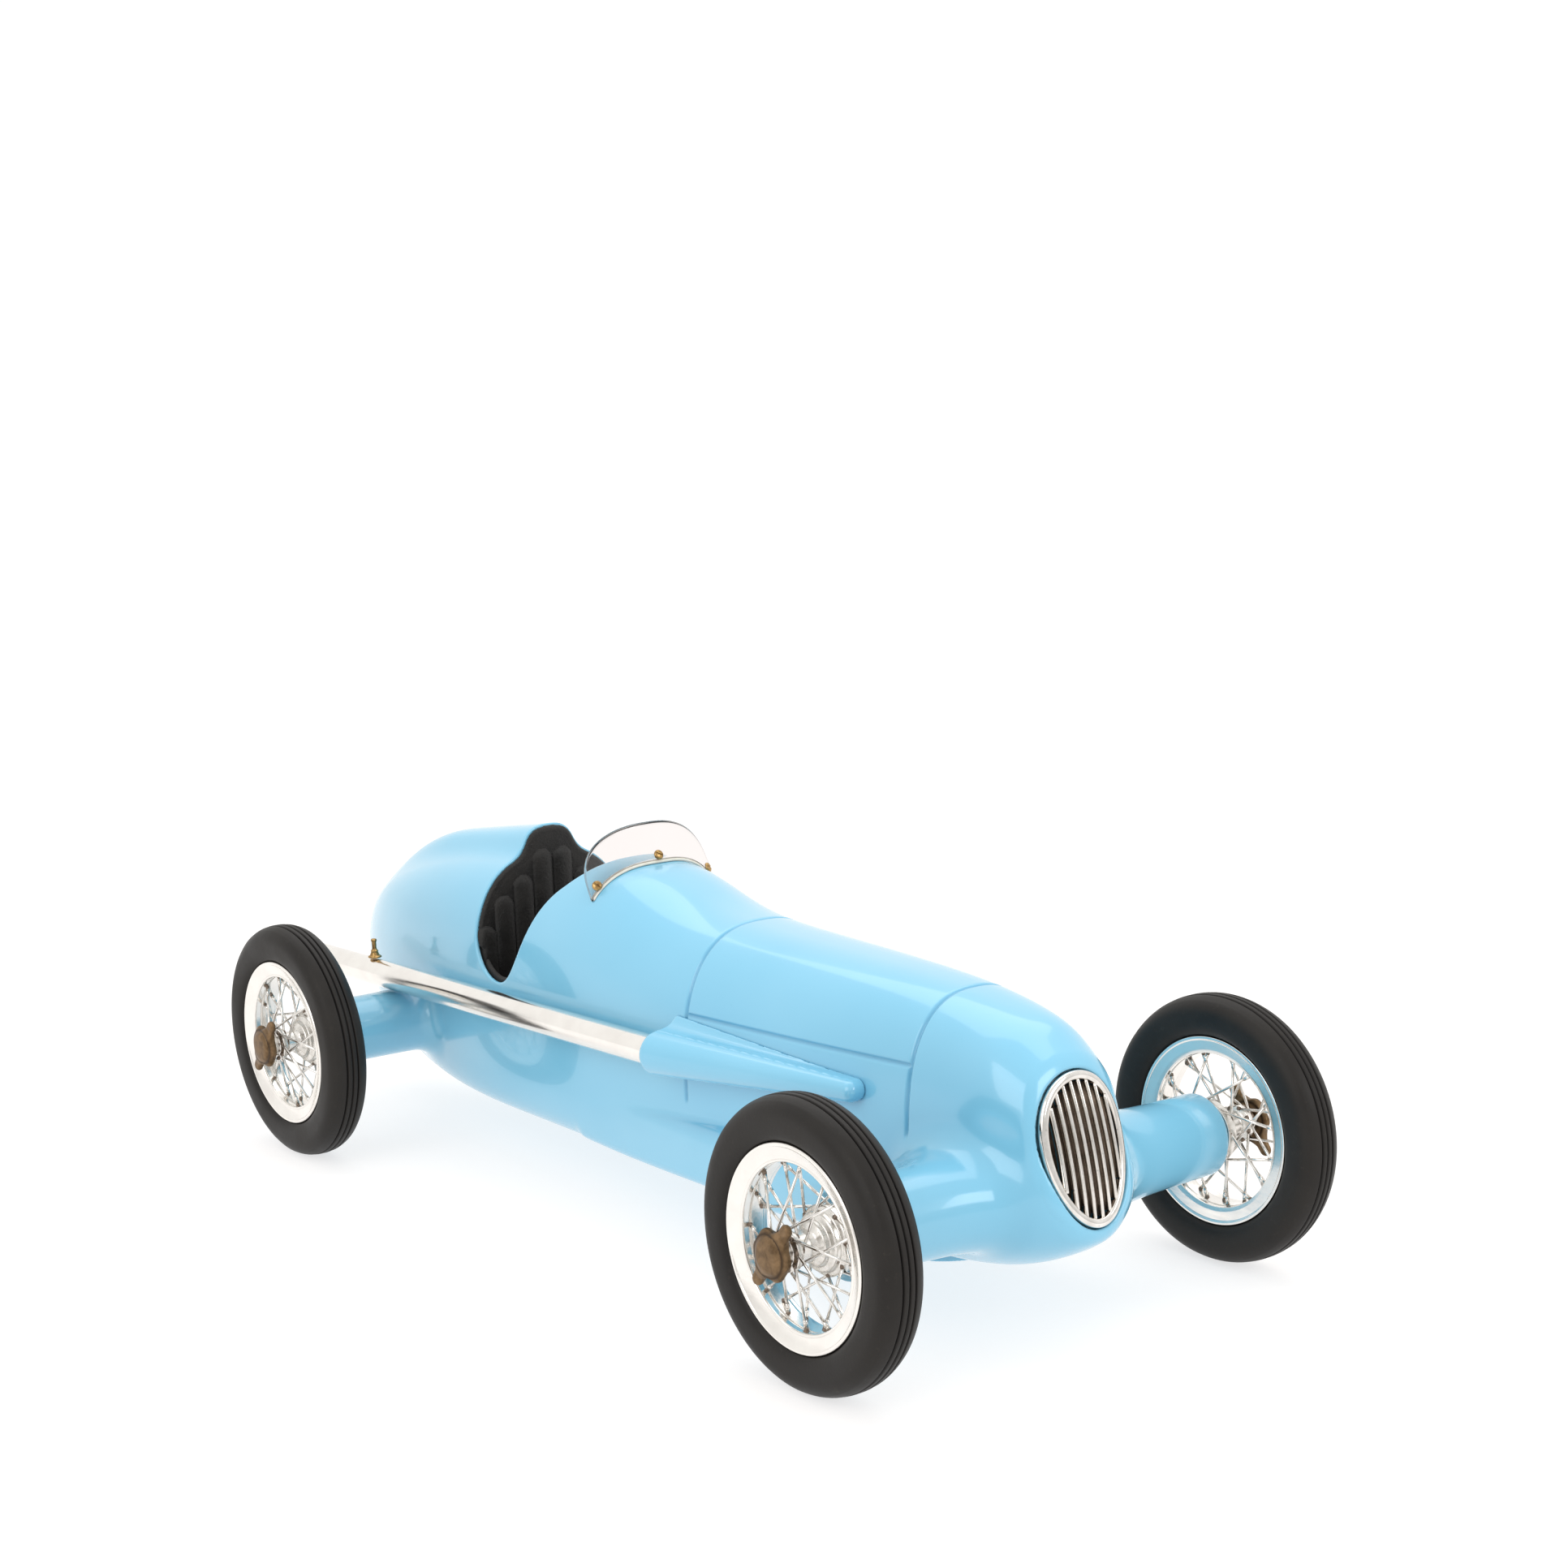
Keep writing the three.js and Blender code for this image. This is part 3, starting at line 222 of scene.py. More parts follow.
def rounded(profile, radius, steps=3):
    """The same profile, closed or open, with each corner replaced by a short arc."""
    profile = np.asarray(profile, float)
    closed = np.allclose(profile[0], profile[-1])
    core = profile[:-1] if closed else profile
    count = len(core)
    out = []
    for i, corner in enumerate(core):
        if not closed and i in (0, count - 1):
            out.append(corner)
            continue
        before, after = core[i - 1] - corner, core[(i + 1) % count] - corner
        reach = min(radius, 0.45 * np.linalg.norm(before), 0.45 * np.linalg.norm(after))
        start = corner + before / np.linalg.norm(before) * reach
        end = corner + after / np.linalg.norm(after) * reach
        for t in np.linspace(0, 1, steps + 1):
            out.append((1 - t) ** 2 * start + 2 * t * (1 - t) * corner + t**2 * end)
    if closed:
        out.append(out[0])
    return np.array(out)


def rod(start, end, radius, sides, taper=1.0):
    """Round bar between two points."""
    along = (end - start) / np.linalg.norm(end - start)
    side = np.cross(along, [0.3, 0.2, 0.93])
    side /= np.linalg.norm(side)
    other = np.cross(along, side)
    angles = full_turn(sides)[:, None]
    around = np.cos(angles) * side + np.sin(angles) * other
    return loft([start + radius * around, end + radius * taper * around])


def smooth_rows(rows, steps=40, spread=0.4):
    """A table of stations as a dense one without kinks: Catmull-Rom, then a Gaussian over it."""
    rows = np.array(rows, float)
    place = np.linspace(0, len(rows) - 1, (len(rows) - 1) * steps + 1)
    index = np.minimum(place.astype(int), len(rows) - 2)
    t = (place - index)[:, None]
    a, b, c, d = (rows[np.clip(index + k, 0, len(rows) - 1)] for k in (-1, 0, 1, 2))
    before, after = (c - a) / 2, (d - b) / 2
    bend = 2 * (b - c) + before + after
    dense = b + t * before + t**2 * (c - b - before - bend) + t**3 * bend
    reach = int(3 * spread * steps)
    kernel = np.exp(-0.5 * (np.arange(-reach, reach + 1) / (spread * steps)) ** 2)
    kernel /= kernel.sum()
    head = 2 * dense[0] - dense[reach:0:-1]
    tail = 2 * dense[-1] - dense[-2 : -reach - 2 : -1]
    long = np.concatenate([head, dense, tail])
    return np.stack([np.convolve(column, kernel, "valid") for column in long.T], 1)


# ======== Implicit surfaces: a field is negative inside and close to a distance ========


def union(a, b, blend=0.0):
    """Joins two fields, with a fillet about as wide as blend."""
    near = np.maximum(blend - np.abs(a - b), 0)
    return np.minimum(a, b) - near * near / np.maximum(4 * blend, 1e-9)


def overlap(a, b, blend=0.0):
    return -union(-a, -b, blend)


def squircle(across, up, half_across, half_up, exponent):
    """Distance to a superellipse, to first order."""
    a = np.maximum(np.abs(across) / half_across, 1e-4)
    b = np.maximum(np.abs(up) / half_up, 1e-4)
    size = (a**exponent + b**exponent) ** (1 / exponent)
    slope = size ** (1 - exponent) * np.hypot(
        a ** (exponent - 1) / half_across, b ** (exponent - 1) / half_up
    )
    return (size - 1) / slope


def axis_points(low, high, cell, fine_spots=(), fine=0.2, reach=1.2):
    """Lattice lines from low to high, closer together around each fine spot."""
    lines = [low]
    while lines[-1] < high:
        near = any(abs(lines[-1] - spot) < reach for spot in fine_spots)
        lines.append(lines[-1] + (min(fine, cell) if near else cell))
    return np.array(lines)


def box_axes(low, high, cell):
    """Evenly spaced lattice lines through a box."""
    return tuple(axis_points(a, b, cell) for a, b in zip(low, high))


def mirrored_points(reach, cell):
    """Lattice lines on both sides of the middle plane, none of them on it."""
    half = np.arange(cell / 2, reach + cell, cell)
    return np.concatenate([-half[::-1], half])


def on_lattice(field, axes, mirrored, slab=12):
    """Values of a field at every lattice point; a mirrored one is worked out for +Y only."""
    x, y, z = axes
    if mirrored:
        y = y[len(y) // 2 :]
    parts = [
        field(x[start : start + slab, None, None], y[None, :, None], z[None, None, :]).astype(np.float32)
        for start in range(0, len(x), slab)
    ]
    values = np.concatenate(parts)
    return np.concatenate([values[:, ::-1], values], axis=1) if mirrored else values


def at_points(field, points, chunk=12000):
    """Values of a field at points. Chunks keep near each other in x, which fields use to skip work."""
    parts = [field(*points[start : start + chunk].T) for start in range(0, len(points), chunk)]
    return np.concatenate(parts)


def slope_of(field, points, reach=0.04):
    steps = np.eye(3) * reach
    rises = [at_points(field, points + s) - at_points(field, points - s) for s in steps]
    return np.stack(rises, 1) / (2 * reach)


def crossings(values, axes):
    """One point in each lattice cell that the surface passes through: the mean of its edge crossings.
    Also each cell's number, or -1."""
    steps = list(itertools.product((0, 1), repeat=3))
    window = {s: tuple(slice(k, n - 1 + k) for k, n in zip(s, values.shape)) for s in steps}
    filled = sum((values[window[s]] < 0).astype(np.int8) for s in steps)
    active = (filled > 0) & (filled < 8)
    number = np.full(active.shape, -1, np.int64)
    number[active] = np.arange(active.sum())
    cells = np.argwhere(active)
    value = {s: values[window[s]][active].astype(float) for s in steps}
    place = {s: np.stack([axes[k][cells[:, k] + s[k]] for k in range(3)], 1) for s in steps}
    total, hits = np.zeros((len(cells), 3)), np.zeros((len(cells), 1))
    for s, k in itertools.product(steps, range(3)):
        if s[k]:
            continue
        e = tuple(1 if i == k else s[i] for i in range(3))
        a, b = value[s][:, None], value[e][:, None]
        crossed = (a < 0) != (b < 0)
        share = a / np.where(crossed, a - b, 1)
        total += np.where(crossed, place[s] + share * (place[e] - place[s]), 0)
        hits += crossed
    return total / hits, number


def surface_of(field, axes, mirrored=False, passes=2):
    """Points, quads and normals of the surface where field is 0, by surface nets and then Newton steps."""
    values = on_lattice(field, axes, mirrored)
    points, number = crossings(values, axes)
    inside = values < 0
    faces = []
    for k in range(3):
        lead = [slice(1, -1)] * 3
        trail = list(lead)
        lead[k], trail[k] = slice(0, -1), slice(1, None)
        before, after = inside[tuple(lead)], inside[tuple(trail)]
        offset = np.array([0 if i == k else 1 for i in range(3)])
        u, v = np.eye(3, dtype=int)[(k + 1) % 3], np.eye(3, dtype=int)[(k + 2) % 3]
        for hit, order in ((before & ~after, 1), (after & ~before, -1)):
            at = np.argwhere(hit) + offset
            quad = [number[tuple((at - shift).T)] for shift in (u + v, v, 0 * u, u)]
            faces.append(np.stack(quad[::order], 1))
    limit = 0.5 * max(np.diff(line).max() for line in axes)
    slope = slope_of(field, points)
    for _ in range(passes):
        steepness = np.maximum((slope**2).sum(1), 0.05)
        step = -(at_points(field, points) / steepness)[:, None] * slope
        length = np.linalg.norm(step, axis=1, keepdims=True)
        points = points + step * np.minimum(1, limit / np.maximum(length, 1e-9))
        slope = slope_of(field, points)
    normals = slope / np.maximum(np.linalg.norm(slope, axis=1, keepdims=True), 1e-9)
    return points, np.concatenate(faces), normals


def clear_of(x, low, high):
    """True if no x lies between low and high, so that a feature there can be left out."""
    return np.max(x) < low or np.min(x) > high


# ======== Body form ========


def tail_x(share):
    return REAR_X - share * TAIL_LENGTH


def mid_x(share):
    return REAR_X + share * WHEELBASE


def nose_x(share):
    return FRONT_X + share * NOSE_LENGTH


# Stations from tail to nose: x, then top, waist and belly as shares of the body's height, half as a
# share of its half width, the belly's exponent, and how far the station leans with the grille.
STATIONS = smooth_rows([
    (tail_x(1.0), 0.395, 0.37, 0.345, 0.02, 2, 0),
    (tail_x(0.985), 0.455, 0.372, 0.29, 0.12, 2, 0),
    (tail_x(0.93), 0.545, 0.38, 0.22, 0.26, 2.1, 0),
    (tail_x(0.8), 0.66, 0.39, 0.15, 0.43, 2.3, 0),
    (tail_x(0.6), 0.755, 0.41, 0.09, 0.61, 2.6, 0),
    (tail_x(0.32), 0.84, 0.435, 0.04, 0.78, 3.2, 0),
    (tail_x(0), 0.9, 0.478, 0.014, 0.9, 4.2, 0),
    (mid_x(0.08), 0.935, 0.514, 0.003, 0.967, 5, 0),
    (mid_x(0.16), 0.957, 0.536, 0, 0.996, 5.5, 0),
    (mid_x(0.25), 0.983, 0.536, 0, 1, 5.5, 0),
    (mid_x(0.33), 1, 0.522, 0, 1, 5.5, 0),
    (mid_x(0.395), 0.997, 0.507, 0, 0.992, 5.5, 0),
    (mid_x(0.45), 0.957, 0.478, 0, 0.975, 5.5, 0),
    (mid_x(0.51), 0.907, 0.449, 0, 0.958, 5.5, 0),
    (mid_x(0.58), 0.878, 0.435, 0, 0.942, 5.5, 0),
    (mid_x(0.7), 0.868, 0.42, 0, 0.908, 5.2, 0),
    (mid_x(0.82), 0.858, 0.42, 0, 0.85, 4.6, 0),
    (mid_x(0.92), 0.84, 0.43, 0.006, 0.775, 3.8, 0),
    (nose_x(0), 0.796, 0.44, 0.035, 0.715, 3.1, 0.08),
    (nose_x(0.5), 0.748, 0.46, 0.092, 0.64, 2.6, 0.45),
    (nose_x(0.85), 0.708, 0.475, 0.148, 0.565, 2.4, 0.85),
    (nose_x(1), 0.686, 0.48, 0.18, 0.51, 2.3, 1),
])
LEAN_START_X = mid_x(0.9)
CREST = smooth_rows([
    (tail_x(0.84), 0.65, 0.42),
    (tail_x(0.62), 0.78, 0.68),
    (tail_x(0.4), 0.877, 0.83),
    (tail_x(0.15), 0.949, 0.93),
    (mid_x(0.02), 0.98, 0.98),
    (RIM_X, HEADREST_TOP, 1),
])
CREST_SQUARE = 2.9
CREST_DEPTH = 0.2 * BODY_HEIGHT
SHELF = smooth_rows([
    (mid_x(0.34), 0.9), (mid_x(0.46), 0.99), (mid_x(0.64), 1.09),
    (mid_x(0.8), 1.2), (mid_x(0.9), 1.32), (mid_x(0.97), 1.4),
])
SHELF_SQUARE = 4.5
HOOD_RINGS = ((REAR_X + 123.7, BELLY_Z + 22), (REAR_X + 196.5, BELLY_Z + 29))
HOOD_LINE = ((REAR_X + 124, BELLY_Z + 42), (REAR_X + 199, BELLY_Z + 43.8))
GROOVE_DEPTH = 0.5
GROOVE_HALF_WIDTH = 0.46


def skin(x, y, z, headrest=True):
    """The body's outer form without its fairings or openings."""
    run_back = GRILLE_LEAN * (z - GRILLE_Z) + GRILLE_BOW * y * y
    at = x
    if np.max(x) > LEAN_START_X:
        for _ in range(8):
            at = x + np.interp(at, STATIONS[:, 0], STATIONS[:, 6]) * run_back
    top, waist, belly, half, square = (
        np.interp(at, STATIONS[:, 0], STATIONS[:, k]) for k in range(1, 6)
    )
    upper = z >= BELLY_Z + waist * BODY_HEIGHT
    side = squircle(
        y,
        z - BELLY_Z - waist * BODY_HEIGHT,
        half * BODY_WIDTH / 2,
        np.where(upper, top - waist, waist - belly) * BODY_HEIGHT,
        np.where(upper, TOP_SQUARE, square),
    )
    form = overlap(side, (at - FACE_X) * GRILLE_RISE, 2.4)
    form = overlap(form, TAIL_X - x, 0.8)
    if not headrest or clear_of(x, CREST[0, 0] - 10, RIM_X + 12):
        return form
    crest, width = (np.interp(x, CREST[:, 0], CREST[:, k]) for k in (1, 2))
    middle = BELLY_Z + crest * BODY_HEIGHT - CREST_DEPTH
    spine = squircle(y, z - middle, width * HEADREST_HALF_WIDTH, CREST_DEPTH, CREST_SQUARE)
    spine = overlap(spine, np.maximum(CREST[0, 0] - x, x - RIM_X - 2), 2)
    return union(form, spine, 3.4)


FLARE = smooth_rows([(-11, 1), (0, 1), (4, 0.62), (9, 0.3), (16, 0.1), (28, 0), (40, 0)])


def axle_fairing(x, y, z, axle_x, radius, ahead, behind, root_height, root_y):
    """Oval where it leaves the body, round at the wheel."""
    share = np.interp(np.abs(y), FLARE[:, 0] + root_y, FLARE[:, 1])
    forward = x - axle_x
    chord = radius + share * (np.where(forward > 0, ahead, behind) - radius)
    height = radius + share * (root_height - radius)
    return overlap(squircle(forward, z - AXLE_Z, chord, height, 2), np.abs(y) - TUBE_END_Y, 0.5)


def flank_shelf(x, y, z):
    """Low ledge along each flank that widens forward into the front fairing."""
    half = np.interp(x, SHELF[:, 0], SHELF[:, 1]) * BODY_WIDTH / 2
    run = np.clip((x - SHELF[0, 0]) / (SHELF[-1, 0] - SHELF[0, 0]), 0, 1)
    height = 0.135 * BODY_HEIGHT * (1 + 0.5 * run)
    ledge = squircle(y, z - BELLY_Z - 0.13 * BODY_HEIGHT, half, height, SHELF_SQUARE)
    ends = np.maximum(SHELF[0, 0] - x, x - SHELF[-1, 0])
    return overlap(overlap(ledge, ends, 6), BELLY_Z + (0.01 + 0.1 * run) * BODY_HEIGHT - z, 3)


def bezier(points, steps=24):
    """Points along a Bezier curve of any degree."""
    t = np.linspace(0, 1, steps)[:, None]
    degree = len(points) - 1
    return sum(
        math.comb(degree, k) * t**k * (1 - t) ** (degree - k) * np.array(p, float)
        for k, p in enumerate(points)
    )


def cockpit_outline():
    """Side view of the cockpit opening, from over the seat back, down to the sill, up to the cowl."""
    low_x, edge_z, front_x = RIM_X + 10.5, BELLY_Z + BODY_HEIGHT, RIM_X + COCKPIT_LIP
    over = 30
    return np.concatenate([
        [(RIM_X, edge_z + over)],
        bezier([(RIM_X, SILL_Z + 13), (RIM_X, SILL_Z + 5), (low_x - 6, SILL_Z), (low_x, SILL_Z)]),
        bezier([(low_x, SILL_Z), (low_x + 9, SILL_Z), (low_x + 12, edge_z - 14), (low_x + 22, edge_z - 6)]),
        bezier([(low_x + 22, edge_z - 6), (front_x - 5, edge_z - 1), (front_x, edge_z + 3)]),
        [(front_x, edge_z + over)],
    ])


def outline_distance(outline, x, z):
    """Distance to a closed outline in the side view, negative inside it."""
    best = np.full(x.shape, 1e9)
    within = np.zeros(x.shape, bool)
    for (ax, az), (bx, bz) in zip(outline, np.roll(outline, -1, 0)):
        run = (bx - ax) ** 2 + (bz - az) ** 2
        if run < 1e-9:
            continue
        share = np.clip(((x - ax) * (bx - ax) + (z - az) * (bz - az)) / run, 0, 1)
        best = np.minimum(best, np.hypot(x - ax - share * (bx - ax), z - az - share * (bz - az)))
        if az != bz:
            within ^= ((az > z) != (bz > z)) & (x < (bx - ax) * (z - az) / (bz - az) + ax)
    return np.where(within, -best, best)


CUT_STEP = 0.15
CUT_X = np.arange(RIM_X - 4, RIM_X + COCKPIT_LIP + 4, CUT_STEP)
CUT_Z = np.arange(SILL_Z - 4, BELLY_Z + 1.15 * BODY_HEIGHT, CUT_STEP)
CUT_TABLE = outline_distance(cockpit_outline(), *np.meshgrid(CUT_X, CUT_Z, indexing="ij"))


def cockpit_cut(x, z):
    """Distance to the cockpit opening's side outline, negative inside it, read between table points."""
    i = np.clip((x - CUT_X[0]) / CUT_STEP, 0, len(CUT_X) - 1.001)
    j = np.clip((z - CUT_Z[0]) / CUT_STEP, 0, len(CUT_Z) - 1.001)
    a, b = i.astype(int), j.astype(int)
    s, t = i - a, j - b
    low = CUT_TABLE[a, b] * (1 - s) + CUT_TABLE[a + 1, b] * s
    high = CUT_TABLE[a, b + 1] * (1 - s) + CUT_TABLE[a + 1, b + 1] * s
    return low * (1 - t) + high * t


def on_face(x, y, z):
    """Coordinates of a point in the leaning, bowed plane of the nose: across, up and forward."""
    back, lift = x - FACE_X + GRILLE_BOW * y * y, z - GRILLE_Z
    return y, GRILLE_RISE * (lift - GRILLE_LEAN * back), GRILLE_RISE * (back + GRILLE_LEAN * lift)


def from_face(across, up, forward):
    """The opposite of on_face."""
    x = FACE_X + GRILLE_RISE * (forward - GRILLE_LEAN * up) - GRILLE_BOW * across**2
    return np.stack([x, across, GRILLE_Z + GRILLE_RISE * (up + GRILLE_LEAN * forward)], -1)


def grille_distance(across, up):
    """Distance to the grille's egg outline in the plane of the nose."""
    height = np.clip(up / (GRILLE_HEIGHT / 2), -1.4, 1.4)
    level = np.sign(height) * np.abs(height) ** (1 / EGG_POWER)
    width = GRILLE_WIDTH / 2 * (1 + 0.1 * np.clip(level, -1, 1))
    size = np.hypot(across / width, level)
    slope = np.hypot(across / width**2, level / (GRILLE_HEIGHT / 2)) / np.maximum(size, 1e-6)
    return (size - 1) / np.maximum(slope, 1e-6)


def step_up(distance, softness=0.5):
    """Rises from 0 to 1 as distance passes 0."""
    return 0.5 + 0.5 * np.tanh(distance / softness)


def groove_depth(x, y, z):
    """How deep the hood's panel lines are cut at a point."""
    cut = 0
    for ring_x, low_z in HOOD_RINGS:
        cut = np.maximum(cut, np.exp(-(((x - ring_x) / GROOVE_HALF_WIDTH) ** 2)) * step_up(z - low_z))
    (x0, z0), (x1, z1) = HOOD_LINE
    line_z = z0 + (x - x0) * (z1 - z0) / (x1 - x0)
    along = step_up(x - x0) * step_up(x1 - 2.5 - x)
    line = np.exp(-(((z - line_z) / GROOVE_HALF_WIDTH) ** 2)) * along
    return GROOVE_DEPTH * np.maximum(cut, line * (np.abs(y) > 5))


def pan_field(x, y, z, grow, top_z):
    """Stadium plate under the belly, grown on all sides, up to top_z."""
    beyond = PAN_HALF_WIDTH + np.maximum(PAN_REAR_X - x, x - PAN_FRONT_X)
    side = np.hypot(np.maximum(beyond, 0), y) - PAN_HALF_WIDTH - grow
    return np.maximum(side, z - top_z)


def body_field(x, y, z):
    form = outer = skin(x, y, z)
    if not clear_of(x, SHELF[0, 0] - 5, SHELF[-1, 0] + 5):
        form = union(form, flank_shelf(x, y, z), 1)
    for axle_x, behind, ahead, softness, sizes in AXLE_FAIRINGS:
        if not clear_of(x, axle_x - behind, axle_x + ahead):
            form = union(form, axle_fairing(x, y, z, axle_x, *sizes), softness)
    if not clear_of(x, HOOD_RINGS[0][0] - 3, HOOD_RINGS[1][0] + 3):
        form = form + groove_depth(x, y, z)
    if not clear_of(x, CUT_X[0], CUT_X[-1]):
        form = overlap(form, -cockpit_cut(x, z), 0.6)
    if not clear_of(x, RIM_X - SEAT_RECESS - 2, COCKPIT_END_X + 2):
        pocket = np.maximum(outer + WALL, np.maximum(RIM_X - SEAT_RECESS - x, x - COCKPIT_END_X))
        form = overlap(form, -np.maximum(pocket, COCKPIT_FLOOR_Z - z), 0.6)
    if not clear_of(x, FACE_X - 20, FACE_X + 20):
        across, up, forward = on_face(x, y, z)
        recess = np.maximum(grille_distance(across, up) - 0.3, -RECESS_DEPTH - forward)
        form = overlap(form, -recess, 0.7)
    for _, axle_x in AXLES:
        if not clear_of(x, axle_x - 4, axle_x + 4):
            bore = np.hypot(x - axle_x, z - AXLE_Z) - AXLE_RADIUS - GAP
            form = overlap(form, -np.maximum(bore, TUBE_END_Y - 8 - np.abs(y)), 0.4)
    if not clear_of(x, PAN_REAR_X - 2, PAN_FRONT_X + 2):
        form = overlap(form, -pan_field(x, y, z, GAP, BELLY_Z + 2.3), 0.4)
    return np.broadcast_to(form, np.broadcast(x, y, z).shape)


# ======== Materials ========


def srgb(*levels):
    """0-255 display levels as a linear colour."""
    share = [level / 255 for level in levels]
    linear = [s / 12.92 if s <= 0.04045 else ((s + 0.055) / 1.055) ** 2.4 for s in share]
    return (*linear, 1)


class Finish:
    """A Principled material and short ways to add the nodes it needs."""

    def __init__(self, name, **fixed):
        self.material = bpy.data.materials.new(name)
        self.material.use_nodes = True
        self.tree = self.material.node_tree
        self.shader = self.tree.nodes["Principled BSDF"]
        self.place = self.node("ShaderNodeTexCoord").outputs["Object"]
        for socket, value in fixed.items():
            self.set(socket.replace("_", " "), value)

    def feed(self, socket, value):
        """Links another node's output to a socket, or stores a constant in it."""
        if isinstance(value, bpy.types.NodeSocket):
            self.tree.links.new(value, socket)
        else:
            socket.default_value = value

    def set(self, name, value):
        self.feed(self.shader.inputs[name], value)

    def node(self, kind, sockets=(), **settings):
        made = self.tree.nodes.new(kind)
        for key, value in settings.items():
            setattr(made, key, value)
        for key, value in dict(sockets).items():
            self.feed(made.inputs[key], value)
        return made

    def noise(self, scale, detail, roughness=0.5, stretch=None, distortion=0.0):
        place = self.place
        if stretch:
            place = self.node("ShaderNodeMapping", {"Vector": place, "Scale": stretch}).outputs[0]
        sockets = {
            "Vector": place, "Scale": scale, "Detail": detail,
            "Roughness": roughness, "Distortion": distortion,
        }
        return self.node("ShaderNodeTexNoise", sockets).outputs["Fac"]

    def pebbles(self, scale):
        sockets = {"Vector": self.place, "Scale": scale}
        return self.node("ShaderNodeTexVoronoi", sockets, feature="SMOOTH_F1").outputs["Distance"]

    def span(self, value, low, high, to_low=0, to_high=1):
        """Maps value from low..high to to_low..to_high, clamped."""
        sockets = {0: value, 1: low, 2: high, 3: to_low, 4: to_high}
        return self.node("ShaderNodeMapRange", sockets).outputs[0]

    def mix(self, factor, first, second):
        return self.node("ShaderNodeMix", {0: factor, 6: first, 7: second}, data_type="RGBA").outputs[2]

    def hollow(self, most=1.0):
        """How hollow the piece is at a point, 0 to most; the bronze darkens with it as patina, and the
        other finishes as painted shade.
        """
        level = self.node("ShaderNodeAttribute", attribute_name="groove").outputs["Fac"]
        return self.span(level, 0, 1, 0, most)

    def done(self, colour, roughness, *relief):
        """Sets colour, roughness and layers of relief, each a height and a depth in micrometres."""
        self.set("Base Color", colour)
        self.set("Roughness", roughness)
        sockets = {}
        for height, depth in relief:
            sockets.update({"Height": height, "Distance": depth * 1e-6, "Strength": 1.0})
            sockets = {"Normal": self.node("ShaderNodeBump", sockets).outputs["Normal"]}
        self.set("Normal", sockets["Normal"])
        return self.material


def paint():
    """Gloss sky-blue enamel over a casting: faint orange peel, soft shade drift, fine dust specks, and
    painted shade darkening the panel lines and the exhaust fairing's seam.
    """
    look = Finish("sky_blue_enamel", Coat_Weight=0.6, Coat_Roughness=0.03, IOR=1.5)
    base = look.mix(look.span(look.noise(28, 2), 0.3, 0.7), srgb(121, 190, 220), srgb(128, 194, 223))
    base = look.mix(look.span(look.noise(2600, 1), 0.74, 0.8, 0, 0.25), base, srgb(88, 160, 196))
    # Painted shade: darker blue down in the panel lines and along the exhaust fairing's seam.
    base = look.mix(look.hollow(0.5), base, srgb(62, 140, 182))
    gloss = look.span(look.noise(60, 4), 0.3, 0.7, 0.16, 0.24)
    return look.done(base, gloss, (look.noise(420, 2), 12), (look.noise(90, 2), 20))


def chrome():
    """Bright plate with fine polishing haze, small pits and darker patches."""
    look = Finish("chrome", Metallic=1.0)
    haze = look.noise(240, 4, 0.6)
    base = look.mix(look.span(haze, 0.35, 0.7), srgb(236, 233, 229), srgb(214, 210, 204))
    base = look.mix(look.span(look.noise(1900, 2), 0.7, 0.78, 0, 0.5), base, srgb(92, 84, 74))
    gloss = look.span(haze, 0.3, 0.75, 0.05, 0.12)
    return look.done(base, gloss, (look.noise(700, 3), 3), (look.noise(120, 2), 10))


def polished_alloy():
    """Buffed aluminium: fine lines along the part, a soft bloom and faint stains."""
    look = Finish("polished_alloy", Metallic=1.0)
    bloom = look.span(look.noise(160, 4, 0.6), 0.35, 0.65)
    base = look.mix(bloom, srgb(243, 240, 235), srgb(237, 233, 228))
    base = look.mix(look.span(look.noise(420, 5, 0.7), 0.62, 0.74, 0, 0.06), base, srgb(176, 164, 146))
    lines = look.noise(900, 2, stretch=(0.06, 1.6, 1.6))
    return look.done(base, look.span(lines, 0.3, 0.7, 0.12, 0.22), (lines, 3), (look.noise(110, 2), 8))


def satin_alloy():
    """Hub metal: turned aluminium with a soft satin and faint rings."""
    look = Finish("satin_alloy", Metallic=1.0)
    base = look.mix(look.noise(200, 3), srgb(240, 237, 232), srgb(226, 222, 216))
    rings = look.noise(1400, 2, stretch=(1, 0.1, 1))
    return look.done(base, look.span(rings, 0.3, 0.7, 0.24, 0.34), (rings, 4))


def rubber():
    """Moulded tyre rubber: warm near-black with a dusty bloom and fine grain, and painted shade darkening
    the tread grooves.
    """
    look = Finish("tyre_rubber", Specular_IOR_Level=0.26)
    bloom = look.noise(70, 5, 0.6)
    base = look.mix(look.span(bloom, 0.35, 0.7), srgb(24, 21, 19), srgb(35, 32, 29))
    base = look.mix(look.span(look.noise(700, 4, 0.7), 0.6, 0.8, 0, 0.25), base, srgb(70, 64, 57))
    # Painted shade: near-black down in the tread grooves.
    base = look.mix(look.hollow(), base, srgb(18, 17, 16))
    relief = (look.noise(1500, 3), 20), (look.noise(260, 3), 40)
    return look.done(base, look.span(bloom, 0.3, 0.75, 0.42, 0.62), *relief)


def bronze():
    """Antiqued bronze: dark in the hollows, rubbed bright on the high spots, softly cast."""
    look = Finish("antique_bronze", Metallic=0.85)
    patina = look.noise(420, 5, 0.65, distortion=0.4)
    base = look.mix(look.span(patina, 0.35, 0.68), srgb(92, 72, 50), srgb(140, 114, 84))
    base = look.mix(look.hollow(0.85), base, srgb(44, 33, 24))
    relief = (look.noise(1300, 3), 30), (look.noise(300, 3), 90)
    return look.done(base, look.span(patina, 0.3, 0.75, 0.34, 0.56), *relief)


